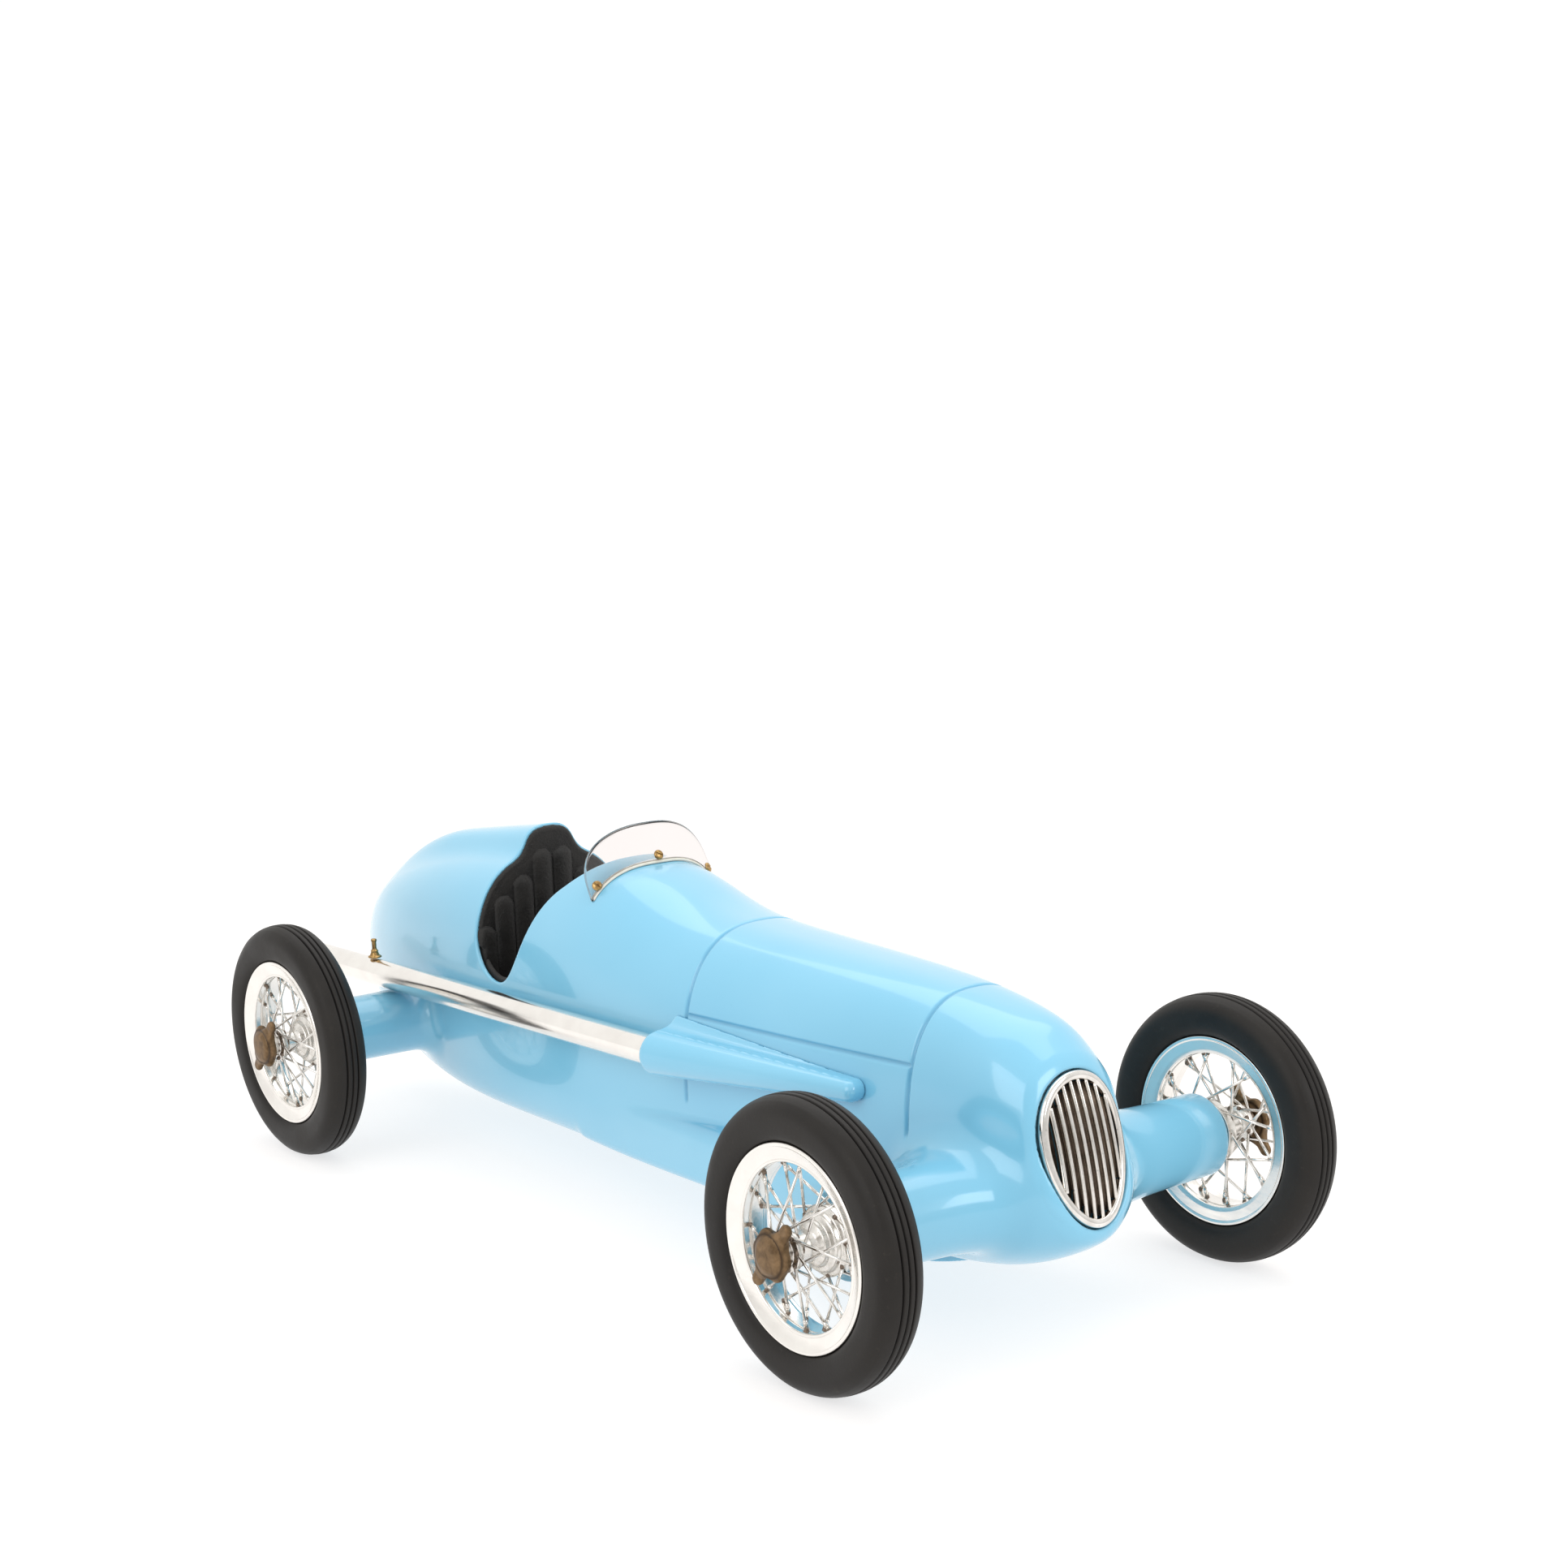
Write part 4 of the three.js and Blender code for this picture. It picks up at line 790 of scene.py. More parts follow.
def brass():
    """Small brass fittings, lightly tarnished."""
    look = Finish("brass", Metallic=1.0)
    tarnish = look.noise(900, 4, 0.6)
    base = look.mix(look.span(tarnish, 0.35, 0.7), srgb(188, 154, 100), srgb(126, 96, 60))
    return look.done(base, look.span(tarnish, 0.3, 0.7, 0.2, 0.38), (look.noise(2500, 2), 10))


def leather():
    """Black trim leather: pebbled grain, soft creases, a slight sheen where it is worn, and painted shade
    in the sewn channels of the seat back.
    """
    look = Finish("black_leather", Specular_IOR_Level=0.4, Sheen_Weight=0.08, Sheen_Roughness=0.5)
    wear = look.noise(130, 4, 0.6)
    base = look.mix(look.span(wear, 0.35, 0.7), srgb(18, 17, 16), srgb(33, 31, 29))
    # Painted shade: near-black down in the seat back's sewn channels.
    base = look.mix(look.hollow(), base, srgb(7, 7, 7))
    relief = (look.pebbles(2300), 90), (look.noise(500, 4, 0.6), 80)
    return look.done(base, look.span(wear, 0.3, 0.7, 0.5, 0.68), *relief)


def dull_plate():
    """Dull plate with a brown cast, on the spoke nipples and behind the grille bars, where its brown-grey
    is a painted reflection of dark surroundings in the chrome recess.
    """
    look = Finish("dull_brown_plate", Metallic=0.7)
    stain = look.noise(500, 4, 0.6)
    base = look.mix(stain, srgb(96, 84, 75), srgb(158, 141, 126))
    return look.done(base, look.span(stain, 0.3, 0.7, 0.28, 0.5), (look.noise(1600, 3), 30))


def clear_sheet():
    """Clear acrylic with a very faint haze and hairline scratches, and painted shade, grey, along its edge.
    """
    look = Finish("clear_acrylic", Transmission_Weight=1.0, IOR=1.45)
    base = look.mix(look.noise(80, 2), srgb(239, 235, 234), srgb(237, 233, 232))
    # Painted shade: grey along the screen's edges.
    base = look.mix(look.hollow(0.8), base, srgb(150, 146, 144))
    scratches = look.noise(2200, 1, stretch=(1, 0.05, 1))
    return look.done(base, look.span(scratches, 0.62, 0.8, 0, 0.1), (look.noise(60, 2), 10))


def gasket():
    """Cream bedding strip under the screen."""
    look = Finish("cream_bedding", Subsurface_Weight=0.1)
    mottle = look.noise(600, 4)
    base = look.mix(mottle, srgb(236, 232, 220), srgb(206, 200, 184))
    return look.done(base, look.span(mottle, 0.3, 0.7, 0.4, 0.6), (look.noise(1500, 3), 20))


def floor_card():
    """Pale seamless paper."""
    look = Finish("pale_paper", Specular_IOR_Level=0.05, Emission_Strength=0.71)
    look.set("Emission Color", srgb(254, 254, 255))
    tooth = look.noise(900, 4)
    return look.done(look.mix(tooth, srgb(158, 155, 152), srgb(164, 161, 158)), 0.9, (tooth, 20))


FINISH = {make.__name__: make() for make in (
    paint, chrome, polished_alloy, satin_alloy, rubber, bronze, brass, leather, dull_plate,
    clear_sheet, gasket, floor_card,
)}


# ======== Body, pan and exhaust fairing ========

BODY_CELL = 0.5
PLAIN_CELL = 0.5
FINE_CELL = 0.35
LINE_CELL = 0.22
PAN_SCREWS = {"rear": PAN_REAR_X + 6, "front": PAN_FRONT_X - 6}


def make_body():
    ring_x = [x for x, _ in HOOD_RINGS] + [RIM_X]
    line_z = [HOOD_LINE[0][1], HOOD_LINE[1][1]]
    line_z.append(sum(line_z) / 2)
    axes = (
        axis_points(TAIL_X - 1, FACE_X + 6, BODY_CELL, ring_x, LINE_CELL),
        mirrored_points(TUBE_END_Y + 1, BODY_CELL),
        axis_points(BELLY_Z - 1, BELLY_Z + 1.07 * BODY_HEIGHT, BODY_CELL, line_z, LINE_CELL),
    )
    mesh = surface_of(body_field, axes, mirrored=True)
    # Panel line depth, which the paint turns into painted shade down in the lines.
    hollow = groove_depth(*mesh[0].T) / GROOVE_DEPTH
    piece("body", mesh, "paint", "body_shell", "paint", hollow=hollow)


def belly_plate_field(x, y, z):
    plate = overlap(pan_field(x, y, z, 0, BELLY_Z + 2), BELLY_Z - z, 0.5)
    for screw_x in PAN_SCREWS.values():
        sink = np.maximum(np.hypot(x - screw_x, y) - 2, z - BELLY_Z - 1.2)
        plate = overlap(plate, -sink, 0.3)
    return plate


def make_pan():
    axes = (
        axis_points(PAN_REAR_X - 1, PAN_FRONT_X + 1, PLAIN_CELL, PAN_SCREWS.values(), reach=3),
        axis_points(-PAN_HALF_WIDTH - 1, PAN_HALF_WIDTH + 1, PLAIN_CELL, [0], reach=3),
        axis_points(BELLY_Z - 1, BELLY_Z + 3, 0.25),
    )
    piece("belly_plate", surface_of(belly_plate_field, axes), "paint", "belly_pan", "paint")
    points, faces = slotted_head(1.7, 0.9)
    for end, x in PAN_SCREWS.items():
        facing_down = points[:, [0, 2, 1]] * (1, 1, -1) + (x, 0, BELLY_Z + 1.1)
        piece(f"pan_screw_head_{end}", (facing_down, faces), "chrome", f"pan_screw_{end}", "chrome")


def slotted_head(radius, height):
    """Domed screw head about +Y from y = 0, with a slot across it."""
    def field(x, y, z):
        dome = np.hypot(x, z) - radius
        cap = y - height * (1 - 0.35 * (x * x + z * z) / radius**2)
        head = overlap(overlap(dome, cap, 0.25 * radius), -y, 0.1)
        slot = np.maximum(np.abs(x) - 0.16 * radius, 0.5 * height - y)
        return overlap(head, -slot, 0.08)

    cell = radius / 14
    reach = radius + 3 * cell
    axes = box_axes((-reach, -3 * cell, -reach), (reach, height + 3 * cell, reach), cell)
    return surface_of(field, axes)[:2]


def pipe_y(x):
    return -(BODY_WIDTH / 2 + 2.2 + PIPE_RADIUS - PIPE_SPLAY * (x - REAR_X))


def pipe_z(x):
    return AXLE_Z + REAR_TUBE_RADIUS + 2 * GAP + PIPE_RADIUS + PIPE_SLOPE * (x - REAR_X)


def fairing_field(x, y, z):
    """Cone along the flank, round behind where the pipe enters, ending in a small round tip."""
    share = np.clip((x - FAIRING_REAR_X) / (FAIRING_LENGTH - FAIRING_TIP_RADIUS), 0, 1)
    radius = FAIRING_REAR_RADIUS + share * (FAIRING_TIP_RADIUS - FAIRING_REAR_RADIUS)
    rear_y = pipe_y(FAIRING_REAR_X)
    tip_y = -BODY_WIDTH / 2 * 0.87 - 0.4 * FAIRING_TIP_RADIUS
    aside = y - rear_y - share * (tip_y - rear_y)
    above = z - pipe_z(FAIRING_REAR_X) - share * FAIRING_TIP_RISE
    past = np.maximum(x - FAIRING_REAR_X - FAIRING_LENGTH + FAIRING_TIP_RADIUS, 0)
    stretched = np.maximum(aside, 0) * 0.25 + np.minimum(aside, 0)
    cone = np.sqrt(stretched**2 + above**2 + past**2) - radius
    web = np.maximum(np.abs(above) - radius, -aside)
    cone = union(cone, np.maximum(web, past - 0.2 * radius), 0.5)
    flank = skin(x, y, z, headrest=False)
    cone = union(cone, flank, (0.4 + 5.6 * (1 - share)) * step_up(above, 1.5))
    cone = overlap(cone, above - radius - 2.6 * (1 - share), 0.3)
    cone = overlap(cone, FAIRING_REAR_X - 0.6 - x, 1.6)
    cone = overlap(cone, y + 8, 0.1)
    socket = np.hypot(y - pipe_y(x), z - pipe_z(x)) - PIPE_RADIUS - SEAM
    cone = overlap(cone, -np.maximum(socket, x - PIPE_FRONT_X - 0.2), 0.35)
    return overlap(cone, SEAM - flank, 0.3)


def make_exhaust():
    middle_y, middle_z = pipe_y(FAIRING_REAR_X), pipe_z(FAIRING_REAR_X)
    low = (FAIRING_REAR_X - 2, middle_y - 8, middle_z - 8)
    high = (FAIRING_REAR_X + FAIRING_LENGTH + 2, -14, middle_z + 10)
    mesh = surface_of(fairing_field, box_axes(low, high, FINE_CELL))
    # Painted shade: the paint darkens along the crease where the cone meets the flank.
    seam = np.exp(-((skin(*mesh[0].T, headrest=False) - SEAM) / 0.25) ** 2)
    piece("exhaust_cone", mesh, "paint", "exhaust_fairing", "paint", hollow=seam)
    bore = PIPE_RADIUS - 0.55
    stations = [
        (PIPE_REAR_X + 12, bore), (PIPE_REAR_X + 0.3, bore), (PIPE_REAR_X, bore + 0.12),
        (PIPE_REAR_X, PIPE_RADIUS - 0.12), (PIPE_REAR_X + 0.15, PIPE_RADIUS),
    ]
    stations += [(x, PIPE_RADIUS) for x in np.linspace(PIPE_REAR_X + 2, PIPE_FRONT_X - 0.2, 60)]
    stations += [(PIPE_FRONT_X, PIPE_RADIUS - 0.2)]
    cos, sin = np.cos(full_turn(64)), np.sin(full_turn(64))
    rings = [np.stack([0 * cos + x, pipe_y(x) + r * cos, pipe_z(x) + r * sin], 1) for x, r in stations]
    piece("exhaust_tube", loft(rings), "polished_alloy", "exhaust_pipe", "polished_metal")
    low, high = box_mm("pipe_pin")
    height, middle = high[2] - low[2], (low + high) / 2
    points, faces = turned(rounded([
        (0, 0), (1.8, 0), (1.8, 0.35), (1.3, 0.6), (0.9, 1.5), (1.05, 1.8), (0.7, 2.1), (0.6, 2.5),
        (0.6, height - 0.8), (0.8, height - 0.6), (0.65, height), (0, height),
    ], 0.15), 40)
    standing = points[:, [0, 2, 1]] * (1, -1, 1) + (middle[0], middle[1], low[2])
    piece("pipe_pin_turned", (standing, faces), "brass", "pipe_pin", "brass")


# ======== Grille ========


def grille_outline(inset):
    """Points of the egg outline, shrunk, and their outward directions in the nose plane."""
    angle = full_turn(160)
    up = np.sin(angle)
    points = np.stack([
        (GRILLE_WIDTH / 2) * np.cos(angle) * (1 + 0.1 * up),
        (GRILLE_HEIGHT / 2) * np.sign(up) * np.abs(up) ** EGG_POWER,
    ], 1)
    along = np.roll(points, -1, 0) - np.roll(points, 1, 0)
    outward = np.stack([along[:, 1], -along[:, 0]], 1)
    outward /= np.linalg.norm(outward, axis=1, keepdims=True)
    return points - inset * outward, outward


def grille_bar(middle):
    """One rounded upright, bowed forward at mid-height."""
    heights = np.linspace(-GRILLE_HEIGHT / 2, GRILLE_HEIGHT / 2, 400)
    within = heights[grille_distance(np.full(400, middle), heights) < -RING_WIDTH - 0.1]
    section = np.linspace(0, np.pi, 11)
    side = middle + BAR_HALF_WIDTH * np.cos(section)
    side = np.append(side, [side[-1], side[0]])
    crown = 0.95 * np.sin(section) ** 0.9 - 0.9
    rings = []
    for up in np.linspace(within[0] - 0.5, within[-1] + 0.5, 40):
        bow = BAR_BOW * (1 - (2 * up / GRILLE_HEIGHT) ** 2)
        rings.append(from_face(side, up, np.append(bow + crown, [BAR_FOOT, BAR_FOOT])))
    return loft(rings)


def make_grille():
    outer, outward = grille_outline(0)
    cos, sin = np.cos(full_turn(20)), np.sin(full_turn(20))
    across = RING_WIDTH / 2 * np.sign(cos) * np.abs(cos) ** 0.7
    lift = np.where(sin > 0, RING_PROUD * np.abs(sin) ** 0.8, -1.6 * (sin < -0.01))
    rings = [from_face(*(outer - (RING_WIDTH / 2 - c) * outward).T, f) for c, f in zip(across, lift)]
    piece("grille_ring", loft(np.stack(rings, 1), closed=True), "chrome", "grille_surround", "chrome")
    inner = grille_outline(RING_WIDTH + 0.1)[0].T
    back = [from_face(*inner, -2.5)] + [from_face(*inner * s, -1.9) for s in (1, 0.66, 0.33, 0.02)]
    # Painted reflection: the dull brown plate behind the bars stands in for the dark surroundings that the
    # chrome recess reflects.
    piece("grille_back", loft(back), "dull_plate", "grille_insert", "chrome")
    pitch = (GRILLE_WIDTH - 2 * (RING_WIDTH + GAP)) / (BAR_COUNT + 0.25)
    bars = [grille_bar((k - (BAR_COUNT - 1) / 2) * pitch) for k in range(BAR_COUNT)]
    piece("grille_bars", together(bars), "chrome", "grille_insert", "chrome")


# ======== Cockpit ========


def liner_field(x, y, z):
    """Tub under the opening, open at the top, from the seat back to the dashboard."""
    hull = skin(x, y, z, headrest=False)
    start_x = RIM_X - SEAT_RECESS + 5.9 + 2 * GAP
    outer = np.maximum(hull + WALL + GAP, COCKPIT_FLOOR_Z + GAP - z)
    outer = np.maximum(outer, np.maximum(start_x - x, x - COCKPIT_END_X + GAP))
    inner = np.maximum(hull + 2.7, COCKPIT_FLOOR_Z + 1.5 - z)
    inner = np.maximum(inner, x - COCKPIT_END_X + 1.5)
    return overlap(overlap(outer, -inner, 0.3), -cockpit_cut(x, z - 1), 0.5)


def make_liner():
    low = (RIM_X, -BODY_WIDTH / 2 - 1, COCKPIT_FLOOR_Z - 1)
    high = (COCKPIT_END_X + 1, BODY_WIDTH / 2 + 1, BELLY_Z + BODY_HEIGHT + 1)
    mesh = surface_of(liner_field, box_axes(low, high, PLAIN_CELL))
    piece("cockpit_lining", mesh, "leather", "cockpit_liner", "upholstery")


def skin_top(y, inset):
    """Height at which the seat's outline, shrunk by inset, ends over a point across the car."""
    z = np.linspace(BELLY_Z + 30, BELLY_Z + 1.1 * BODY_HEIGHT, 800)
    level = skin(np.full(800, RIM_X), np.full(800, float(y)), z) + inset
    return float(z[level < 0].max())


FLUTE_RADIUS = 2.85
FLUTE_RELIEF = 1
# Where each flute of the seat back ends, by its distance from the middle.
FLUTE_TOP = {3: BELLY_Z + 66.2}
for _flute, _inset in ((9, 4.2), (15, 4.2), (20.5, 2.2)):
    FLUTE_TOP[_flute] = skin_top(_flute, _inset) - 0.4


def flute_relief(y, z):
    """Height of the sewn flutes on the seat back, 0 to 1."""
    relief = 0
    for middle, top in FLUTE_TOP.items():
        beyond = np.maximum(z - top + FLUTE_RADIUS, 0)
        apart = np.hypot(np.abs(y) - middle, beyond) / FLUTE_RADIUS
        relief = np.maximum(relief, np.sqrt(np.maximum(1 - apart**2, 0)))
    return relief


def seat_back_field(x, y, z):
    hull = skin(np.minimum(x, RIM_X), y, z)
    outline = np.maximum(hull + 0.4, np.minimum(hull + WALL + 0.25, cockpit_cut(x, z) + 0.15))
    dome = SEAT_PROUD - 0.9 + FLUTE_RELIEF * flute_relief(y, z)
    pad = overlap(outline, (x - RIM_X - dome) * 0.8, 1.3)
    rear = RIM_X - SEAT_RECESS + GAP - x
    return np.maximum(np.maximum(pad, rear), COCKPIT_FLOOR_Z + GAP - z)


def make_seat():
    low = (RIM_X - SEAT_RECESS - 1, -BODY_WIDTH / 2, COCKPIT_FLOOR_Z - 1)
    high = (RIM_X + SEAT_PROUD + 2, BODY_WIDTH / 2, BELLY_Z + 1.07 * BODY_HEIGHT)
    mesh = surface_of(seat_back_field, box_axes(low, high, FINE_CELL))
    x, y, z = mesh[0].T
    # Channels between the flutes, which the leather darkens as painted shade.
    channel = np.clip(1 - flute_relief(y, z) * 1.6, 0, 1) * (x > RIM_X)
    below_top = z < np.interp(np.abs(y), list(FLUTE_TOP), list(FLUTE_TOP.values()))
    hollow = channel * below_top * 0.5
    made = piece("seat_back_pad", mesh, "leather", "seat_back", "upholstery", hollow=hollow)


def make_cushion():
    """Crowned pad with four sewn channels running fore and aft and a welt round its edge."""
    low, high = box_mm("seat_cushion")
    centre, half = (low + high) / 2, (high - low) / 2

    def field(x, y, z):
        along, across = x - centre[0], y - centre[1]
        u, v = np.abs(along / half[0]), np.abs(across / half[1])
        pull = 0.35 * (1 - u**2) * v**3 + 0.35 * (1 - v**2) * u**3
        plan = squircle(along, across, half[0] - 0.3, half[1] - 0.3, 5) + pull
        crown = half[2] * (0.95 - 0.252 * np.minimum(u, 1.2) ** 2 - 0.3 * np.minimum(v, 1.2) ** 4)
        channel = sum(np.exp(-(((across - k * 7.6) / 0.7) ** 2)) for k in (-1.5, -0.5, 0.5, 1.5))
        top = z - centre[2] - crown + 0.9 * channel
        pad = overlap(overlap(plan, top, 3.2), low[2] - z, 1.4)
        welt = np.hypot(plan + 0.25, z - centre[2] + 0.2) - 0.55
        return union(pad, welt, 0.35)

    mesh = surface_of(field, box_axes(low - 1.5, high + 1.5, FINE_CELL))
    made = piece("seat_cushion_pad", mesh, "leather", "seat_cushion", "upholstery")


# ======== Aero screen ========


def screen_x(y, z):
    return SCREEN_X - SCREEN_LEAN * (z - BELLY_Z - BODY_HEIGHT) - SCREEN_WRAP * y * y


def roof_z(x, y):
    """Height of the body's upper surface."""
    top, waist, half = (np.interp(x, STATIONS[:, 0], STATIONS[:, k]) for k in (1, 2, 4))
    share = np.minimum(np.abs(y) / (half * BODY_WIDTH / 2), 1)
    rise = (1 - share**TOP_SQUARE) ** (1 / TOP_SQUARE)
    return BELLY_Z + BODY_HEIGHT * (waist + (top - waist) * rise)


def screen_foot(y):
    z = BELLY_Z + BODY_HEIGHT
    for _ in range(8):
        z = max(roof_z(screen_x(y, z), y), roof_z(screen_x(y, z) - SCREEN_THICKNESS, y)) + GAP
    return z


def screen_point(y, z, depth):
    """A point of the screen, depth behind its front face."""
    return (screen_x(y, z) - depth, y, z)


def make_screen():
    columns, rows, edge = 72, 14, 5
    side_z = screen_foot(SCREEN_HALF_WIDTH) + SCREEN_SIDE_HEIGHT
    turns = np.linspace(0, np.pi, edge)[1:-1]
    arc = [(SCREEN_ROUND * np.sin(t), SCREEN_THICKNESS * (1 - np.cos(t)) / 2) for t in turns]
    rings = []
    for i in range(columns + 1):
        share = math.sin(math.pi * (i / columns - 0.5))
        y = share * SCREEN_HALF_WIDTH
        low = screen_foot(y) + SCREEN_ROUND
        high = side_z + (SCREEN_TOP_Z - side_z) * (1 - abs(share) ** 2.3) ** (1 / 2.3) - SCREEN_ROUND
        heights = np.linspace(low, high, rows)
        ring = [screen_point(y, z, 0) for z in heights]
        ring += [screen_point(y, high + rise, depth) for rise, depth in arc]
        ring += [screen_point(y, z, SCREEN_THICKNESS) for z in heights[::-1]]
        ring += [screen_point(y, low - rise, SCREEN_THICKNESS - depth) for rise, depth in arc]
        rings.append(ring)
    # Edge rows, which the acrylic paints grey as shade along the sheet's edge.
    at_edge = np.zeros((columns + 1, len(ring)))
    at_edge[[0, -1]] = 1
    at_edge[:, rows - 1 : rows + edge - 1] = 1
    mesh = loft(rings[::-1])
    piece("aero_screen", mesh, "clear_sheet", "windscreen", "clear_sheet", hollow=at_edge.ravel())


def make_screen_screws():
    points, faces = slotted_head(1.2, 0.8)
    for side, y in (("left", 16.2), ("centre", 0), ("right", -16.2)):
        z = screen_foot(y) + SCREW_LIFT
        facing = Vector((1, 2 * SCREEN_WRAP * y, SCREEN_LEAN)).normalized()
        turn = Matrix.Rotation(0.6 + y, 3, "Y")
        aim = Vector((0, 1, 0)).rotation_difference(facing).to_matrix() @ turn
        placed = points @ np.array(aim).T + (screen_x(y, z), y, z)
        name = f"screen_screw_head_{side}"
        piece(name, (placed, faces), "brass", f"screen_screw_{side}", "brass")


def make_bedding():
    """Thin strip that the screen stands on."""
    depth = SCREEN_THICKNESS / 2 + 0.62 * np.cos(full_turn(12))
    lift = 0.1 + 0.42 * np.sin(full_turn(12))
    reach = SCREEN_HALF_WIDTH - 0.3
    rings = []
    for y in np.linspace(reach, -reach, 60):
        foot = screen_foot(y)
        rings.append([screen_point(y, foot + up, d) for up, d in zip(lift, depth)])
    piece("screen_bedding", loft(rings), "gasket")


# ======== Wheels, drawn about +Y pointing outboard, from the tyre's middle plane ========

WELL_RADIUS = 16.9
WELL_HALF = 1.7
SPOKE_COUNT = 32
SPOKE_RADIUS = 0.32
HUB_DRUM_RADIUS = 7.3
HUB_FLANGE_RADIUS = 4.2
HUB_INNER = -5.6
HUB_OUTER = 7.9
KNOCK_OFF_FRONT = 10.9
EAR_ANGLE = math.radians(52)
COLLAR_BORE, COLLAR_RADIUS, COLLAR_STEP = 1.8, 3.3, 2.8


def tyre_mesh():
    """Round-shouldered tyre with three grooves round its tread, its walls coming down onto the rim,
    and how hollow each point is."""
    bead, half = RIM_RADIUS + 0.15, TYRE_WIDTH / 2
    crown, depth = (TYRE_RADIUS + bead) / 2, (TYRE_RADIUS - bead) / 2
    sectors = ((-90, -26, 16), (-25, 25, 90), (26, 90, 16))
    turn = np.radians(np.concatenate([np.linspace(*sector) for sector in sectors]))
    outboard = bezier([
        (crown, half), (crown - 2.8, half), (bead + 0.6, RIM_OUTBOARD + 0.3), (bead, RIM_OUTBOARD - 0.5),
    ], 14)
    inboard = bezier([
        (crown, -half), (crown - 2.8, -half), (bead + 0.6, -RIM_INBOARD - 0.8), (bead, 0.4 - RIM_INBOARD),
    ], 14)
    radius = crown + depth * np.cos(turn) ** 0.86
    width = half * np.sign(turn) * np.abs(np.sin(turn)) ** 0.85
    profile = np.concatenate([np.stack([radius, width], 1), outboard[1:], inboard[:0:-1]])
    radius, width = profile.T
    tread = radius > crown
    # Groove level along the tread, which the rubber turns into painted shade.
    hollow = sum(np.exp(-(((width - place) / 0.2) ** 2)) * tread for place in (-1.5, 0.0, 1.5))
    ridge = sum(np.exp(-(((width - place) / 0.14) ** 2)) * tread for place in (-3.9, 3.9))
    profile[:, 0] += 0.07 * ridge - 0.55 * hollow
    segments = 128
    mesh = turned(np.concatenate([profile, profile[:1]]), segments)
    return mesh, np.repeat(hollow, segments)


def rim_mesh():
    """Dished flange with a rolled lip, a step, and the spoke well."""
    outer, inner = RIM_OUTBOARD, -RIM_INBOARD
    return turned(rounded([
        (RIM_RADIUS, inner), (RIM_RADIUS, outer - 0.3), (RIM_RADIUS - 0.25, outer),
        (RIM_RADIUS - 0.7, outer), (RIM_RADIUS - 1.0, outer - 0.25), (WELL_RADIUS + 0.75, outer - 1.15),
        (WELL_RADIUS + 0.55, outer - 0.95), (WELL_RADIUS + 0.15, outer - 1.05), (WELL_RADIUS, outer - 1.45),
        (WELL_RADIUS + 0.3, WELL_HALF), (WELL_RADIUS + 0.1, WELL_HALF - 0.4),
        (WELL_RADIUS + 0.1, -WELL_HALF), (WELL_RADIUS + 0.35, -WELL_HALF - 0.3),
        (WELL_RADIUS + 0.3, inner + 0.9), (WELL_RADIUS + 1.2, inner + 0.6),
        (RIM_RADIUS - 0.9, inner + 0.25), (RIM_RADIUS - 0.6, inner), (RIM_RADIUS, inner),
    ], 0.2), 160)


def spoke_places():
    """(start at the hub, end at the rim) of each spoke."""
    def at(radius, angle, y):
        return np.array([radius * math.sin(angle), y, radius * math.cos(angle)])

    for k in range(SPOKE_COUNT):
        outboard = k % 2 == 0
        lean = 1 if k // 2 % 2 == 0 else -1
        rim_angle = 2 * math.pi * k / SPOKE_COUNT
        hub_radius = (HUB_FLANGE_RADIUS if outboard else HUB_DRUM_RADIUS) - 0.5
        hub_angle = rim_angle + lean * (1 if outboard else 0.8)
        hub_y = (HUB_OUTER - 2.6 if outboard else 1.4 + HUB_INNER) + lean * 0.75
        rim_y = (0.9 if outboard else -0.9) + lean * 0.37
        yield at(hub_radius, hub_angle, hub_y), at(WELL_RADIUS + 0.2, rim_angle, rim_y)


def spoke_meshes():
    """Wires, each with a thicker end, and the nipples at the rim and heads at the hub."""
    wires, nipples = [], []
    for hub, rim in spoke_places():
        along = (rim - hub) / np.linalg.norm(rim - hub)
        wires.append(rod(hub, rim, SPOKE_RADIUS, 10))
        wires.append(rod(rim - 2.4 * along, rim - 0.6 * along, SPOKE_RADIUS * 1.35, 10, 1.1))
        nipples.append(rod(rim - 0.5 * along, rim + 0.3 * along, SPOKE_RADIUS * 1.4, 12, 1.1))
        nipples.append(rod(hub - 0.2 * along, hub + 0.5 * along, SPOKE_RADIUS * 1.6, 10, 0.8))
    return together(wires), together(nipples)


def hub_mesh():
    """Stepped brake-drum shape inboard, slim barrel, and an outer spoke flange."""
    bore, drum, flange = AXLE_RADIUS + 0.25, HUB_DRUM_RADIUS, HUB_FLANGE_RADIUS
    a, b = HUB_INNER, HUB_OUTER
    return turned(rounded([
        (bore, a), (drum, a), (drum, a + 2.1), (drum - 0.5, a + 2.4), (6.1, a + 2.6), (6.1, a + 3.6),
        (5.7, a + 3.9), (4.7, a + 4.2), (4.5, a + 5.2), (3.2, a + 6), (2.6, a + 7), (2.6, b - 4.4),
        (3.1, b - 3.8), (flange, b - 3.3), (flange, b - 2.1), (3, b - 1.8), (2.9, b - 1.6), (2.9, b),
        (bore, b), (bore, a),
    ], 0.28), 96)


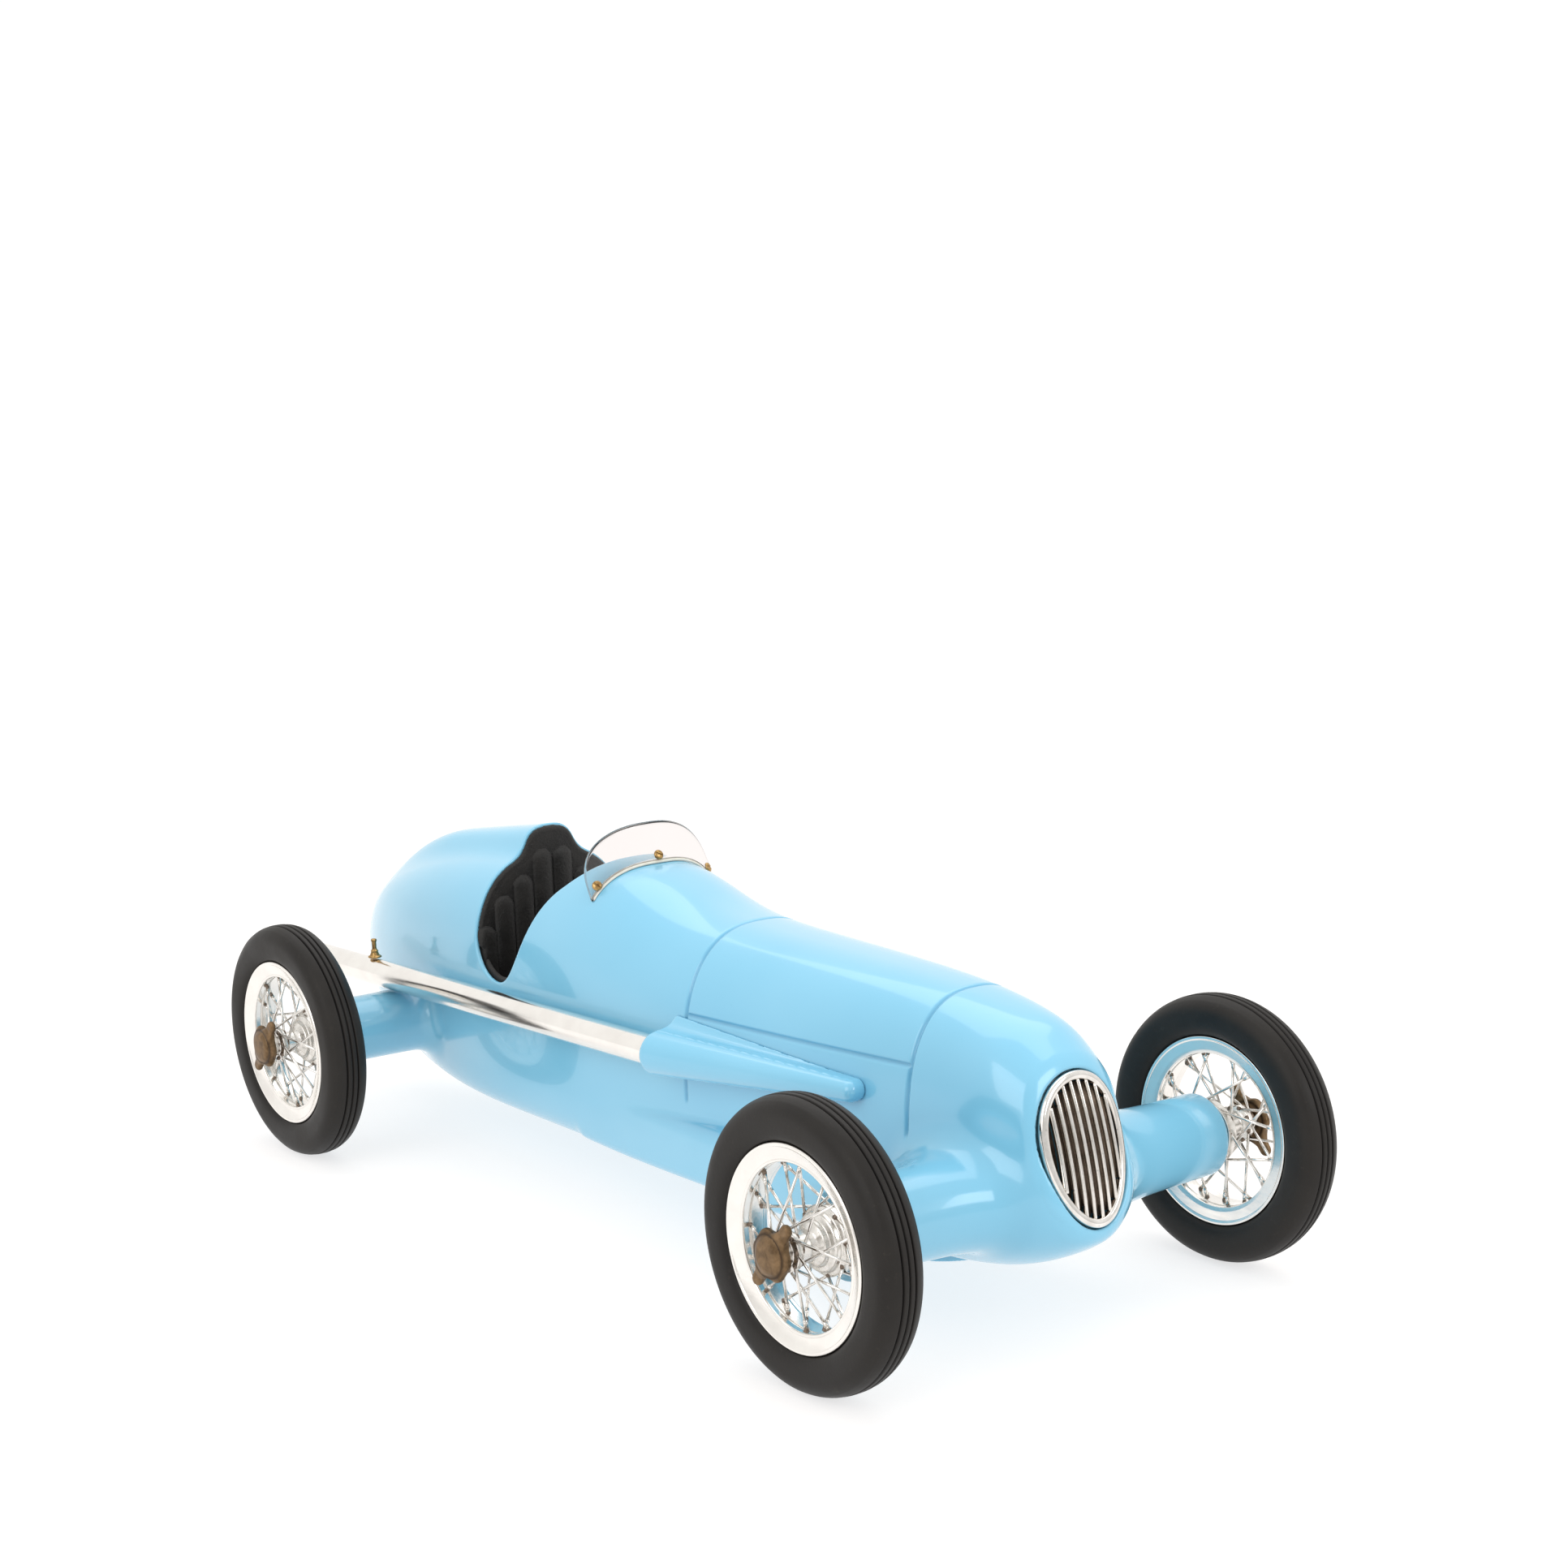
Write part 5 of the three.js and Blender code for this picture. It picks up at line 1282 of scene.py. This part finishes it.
def knock_off_field(x, y, z):
    """Two-eared wheel nut: round cap, wavy skirt and ears, all softly cast."""
    back, front = HUB_OUTER + GAP, KNOCK_OFF_FRONT
    radius, angle = np.hypot(x, z), np.arctan2(z, x)
    cap = overlap(radius - 4.0, y - front + 0.02 * radius**2, 1.3)
    cap = union(cap, np.maximum(radius - 4.4, y - front + 1.0), 0.5)
    skirt = radius - 5.1 - 0.3 * np.cos(6 * (angle + EAR_ANGLE))
    skirt = overlap(skirt, np.abs(y - back - 0.85) - 0.8, 0.7)
    c, s = math.cos(EAR_ANGLE), math.sin(EAR_ANGLE)
    along, across = np.abs(c * x - s * z), s * x + c * z
    taper = 1.75 - 0.05 * along
    ear = np.hypot(np.maximum(along - 8.9 + taper, 0), across) - taper
    ear = overlap(ear, np.abs(y - back - 0.9) - 0.75, 0.8)
    nut = union(union(cap, skirt, 0.7), ear, 1.2)
    return overlap(nut, back - y, 0.15)


def knock_off_mesh():
    """The nut, and how hollow each point is: the crease between cap and skirt."""
    mesh = surface_of(knock_off_field, box_axes((-9, 7.5, -9), (9, 11.6, 9), 0.22))
    x, y, z = mesh[0].T
    return mesh, np.exp(-(((np.hypot(x, z) - 4.35) / 0.35) ** 2)) * (y < 10.3)


def make_wheels():
    tyre, tyre_hollow = tyre_mesh()
    nut, nut_hollow = knock_off_mesh()
    wires, nipples = spoke_meshes()
    inner = TUBE_END_Y + GAP - TRACK / 2
    collar = turned(rounded([
        (COLLAR_BORE, inner), (COLLAR_RADIUS, inner), (COLLAR_RADIUS, inner + 0.5),
        (COLLAR_STEP, inner + 0.7), (COLLAR_STEP, inner + 1.6), (COLLAR_BORE, inner + 1.6),
        (COLLAR_BORE, inner),
    ], 0.15), 48)
    parts = (
        (tyre, "tyre_rubber", "rubber", "tyre", "tyre_rubber", tyre_hollow),
        (rim_mesh(), "rim_flange", "polished_alloy", "rim", "chrome", None),
        (wires, "spoke_wires", "chrome", "spokes", "chrome", None),
        (nipples, "spoke_nipples", "dull_plate", "spokes", "chrome", None),
        (hub_mesh(), "hub_barrel", "satin_alloy", "hub", "chrome", None),
        (nut, "wheel_nut", "bronze", "knock_off", "bronze", nut_hollow),
        (collar, "collar_turned", "chrome", "axle_collar", "chrome", None),
    )
    for end, x in AXLES:
        for side, sign in (("left", 1), ("right", -1)):
            turn, centre = (sign, sign, 1), (x, sign * TRACK / 2, AXLE_Z)
            name = f"{end}_{side}_"
            for (points, faces, *normals), label, finish, node, slot, hollow in parts:
                mesh = (points * turn + centre, faces, *(normal * turn for normal in normals))
                body = "body" if node == "axle_collar" else name + "wheel"
                piece(name + label, mesh, finish, name + node, slot, body, hollow)


def make_axles():
    for end, x in AXLES:
        low, high = box_mm(f"{end}_axle")
        points, faces = turned(rounded([
            (0, low[1]), (AXLE_RADIUS - 0.3, low[1]), (AXLE_RADIUS, low[1] + 0.3),
            (AXLE_RADIUS, high[1] - 0.3), (AXLE_RADIUS - 0.3, high[1]), (0, high[1]),
        ], 0.1), 32)
        piece(f"{end}_axle_rod", (points + (x, 0, AXLE_Z), faces), "chrome", f"{end}_axle", "chrome")


# ======== Stage: floor, lights and camera ========

FLOOR_REACH = 12
WORLD_STRENGTH = (0.76, 1.04)  # toward the viewer's side, and overhead and behind
WORLD_BRIGHT_SIDE = (-0.62, 0.43, 0.66)
WORLD_FADE = (-0.5, 0.35)
# Name, place, size and power.
SOFTBOXES = (
    ("overhead", (-0.25, 0.25, 1.1), (1.3, 0.9), 4),
    ("camera_left", (0.35, -1.1, 0.75), (0.8, 0.8), 4),
    ("front", (1.2, 0.3, 0.7), (0.7, 0.5), 3.5),
)
SOFTBOX_AIM = Vector((0, 0, 0.04))
CAMERA_PLACE = Vector((0.4796, -0.33585, 0.18953))
CAMERA_AIM = Vector((0.03811, 0, 0.03104))
CAMERA_ROLL = math.radians(-1.559)


def link(name, data):
    made = bpy.data.objects.new(name, data)
    bpy.context.scene.collection.objects.link(made)
    return made


def make_floor():
    mesh = bpy.data.meshes.new("floor")
    corners = [(x * FLOOR_REACH, y * FLOOR_REACH, 0) for x, y in ((-1, -1), (1, -1), (1, 1), (-1, 1))]
    mesh.from_pydata(corners, [], [(0, 1, 2, 3)])
    mesh.materials.append(FINISH["floor_card"])
    floor = link("floor", mesh)


def make_lights():
    world = bpy.data.worlds.new("studio")
    world.use_nodes = True
    tree = world.node_tree
    facing = tree.nodes.new("ShaderNodeVectorMath")
    facing.operation = "DOT_PRODUCT"
    facing.inputs[1].default_value = WORLD_BRIGHT_SIDE
    tree.links.new(tree.nodes.new("ShaderNodeTexCoord").outputs["Generated"], facing.inputs[0])
    fall = tree.nodes.new("ShaderNodeMapRange")
    fall.interpolation_type = "SMOOTHSTEP"
    for index, value in enumerate((*WORLD_FADE, *WORLD_STRENGTH), 1):
        fall.inputs[index].default_value = value
    tree.links.new(facing.outputs["Value"], fall.inputs[0])
    background = tree.nodes["Background"]
    background.inputs["Color"].default_value = srgb(255, 254, 252)
    tree.links.new(fall.outputs[0], background.inputs["Strength"])
    bpy.context.scene.world = world
    for name, place, size, power in SOFTBOXES:
        light = bpy.data.lights.new(name, "AREA")
        light.shape = "RECTANGLE"
        light.size, light.size_y = size
        light.energy = power
        lamp = link(name, light)
        lamp.location = place
        lamp.rotation_euler = (SOFTBOX_AIM - Vector(place)).to_track_quat("-Z", "Y").to_euler()
    bpy.context.scene.view_settings.view_transform = "Standard"


def make_camera():
    """Three-quarter front from the car's right, slightly above."""
    lens = bpy.data.cameras.new("camera")
    lens.lens, lens.sensor_width, lens.shift_y = 57.34, 36, 0.1993
    camera = link("camera", lens)
    back = (CAMERA_PLACE - CAMERA_AIM).normalized()
    right = Vector((0, 0, 1)).cross(back).normalized()
    up = back.cross(right)
    cos, sin = math.cos(CAMERA_ROLL), math.sin(CAMERA_ROLL)
    facing = Matrix((cos * right + sin * up, cos * up - sin * right, back)).transposed()
    camera.matrix_world = Matrix.Translation(CAMERA_PLACE) @ facing.to_4x4()
    bpy.context.scene.camera = camera


for make in (
    make_body, make_pan, make_exhaust, make_grille, make_liner, make_seat, make_cushion, make_screen,
    make_bedding, make_screen_screws, make_wheels, make_axles, make_floor, make_lights, make_camera,
):
    make()
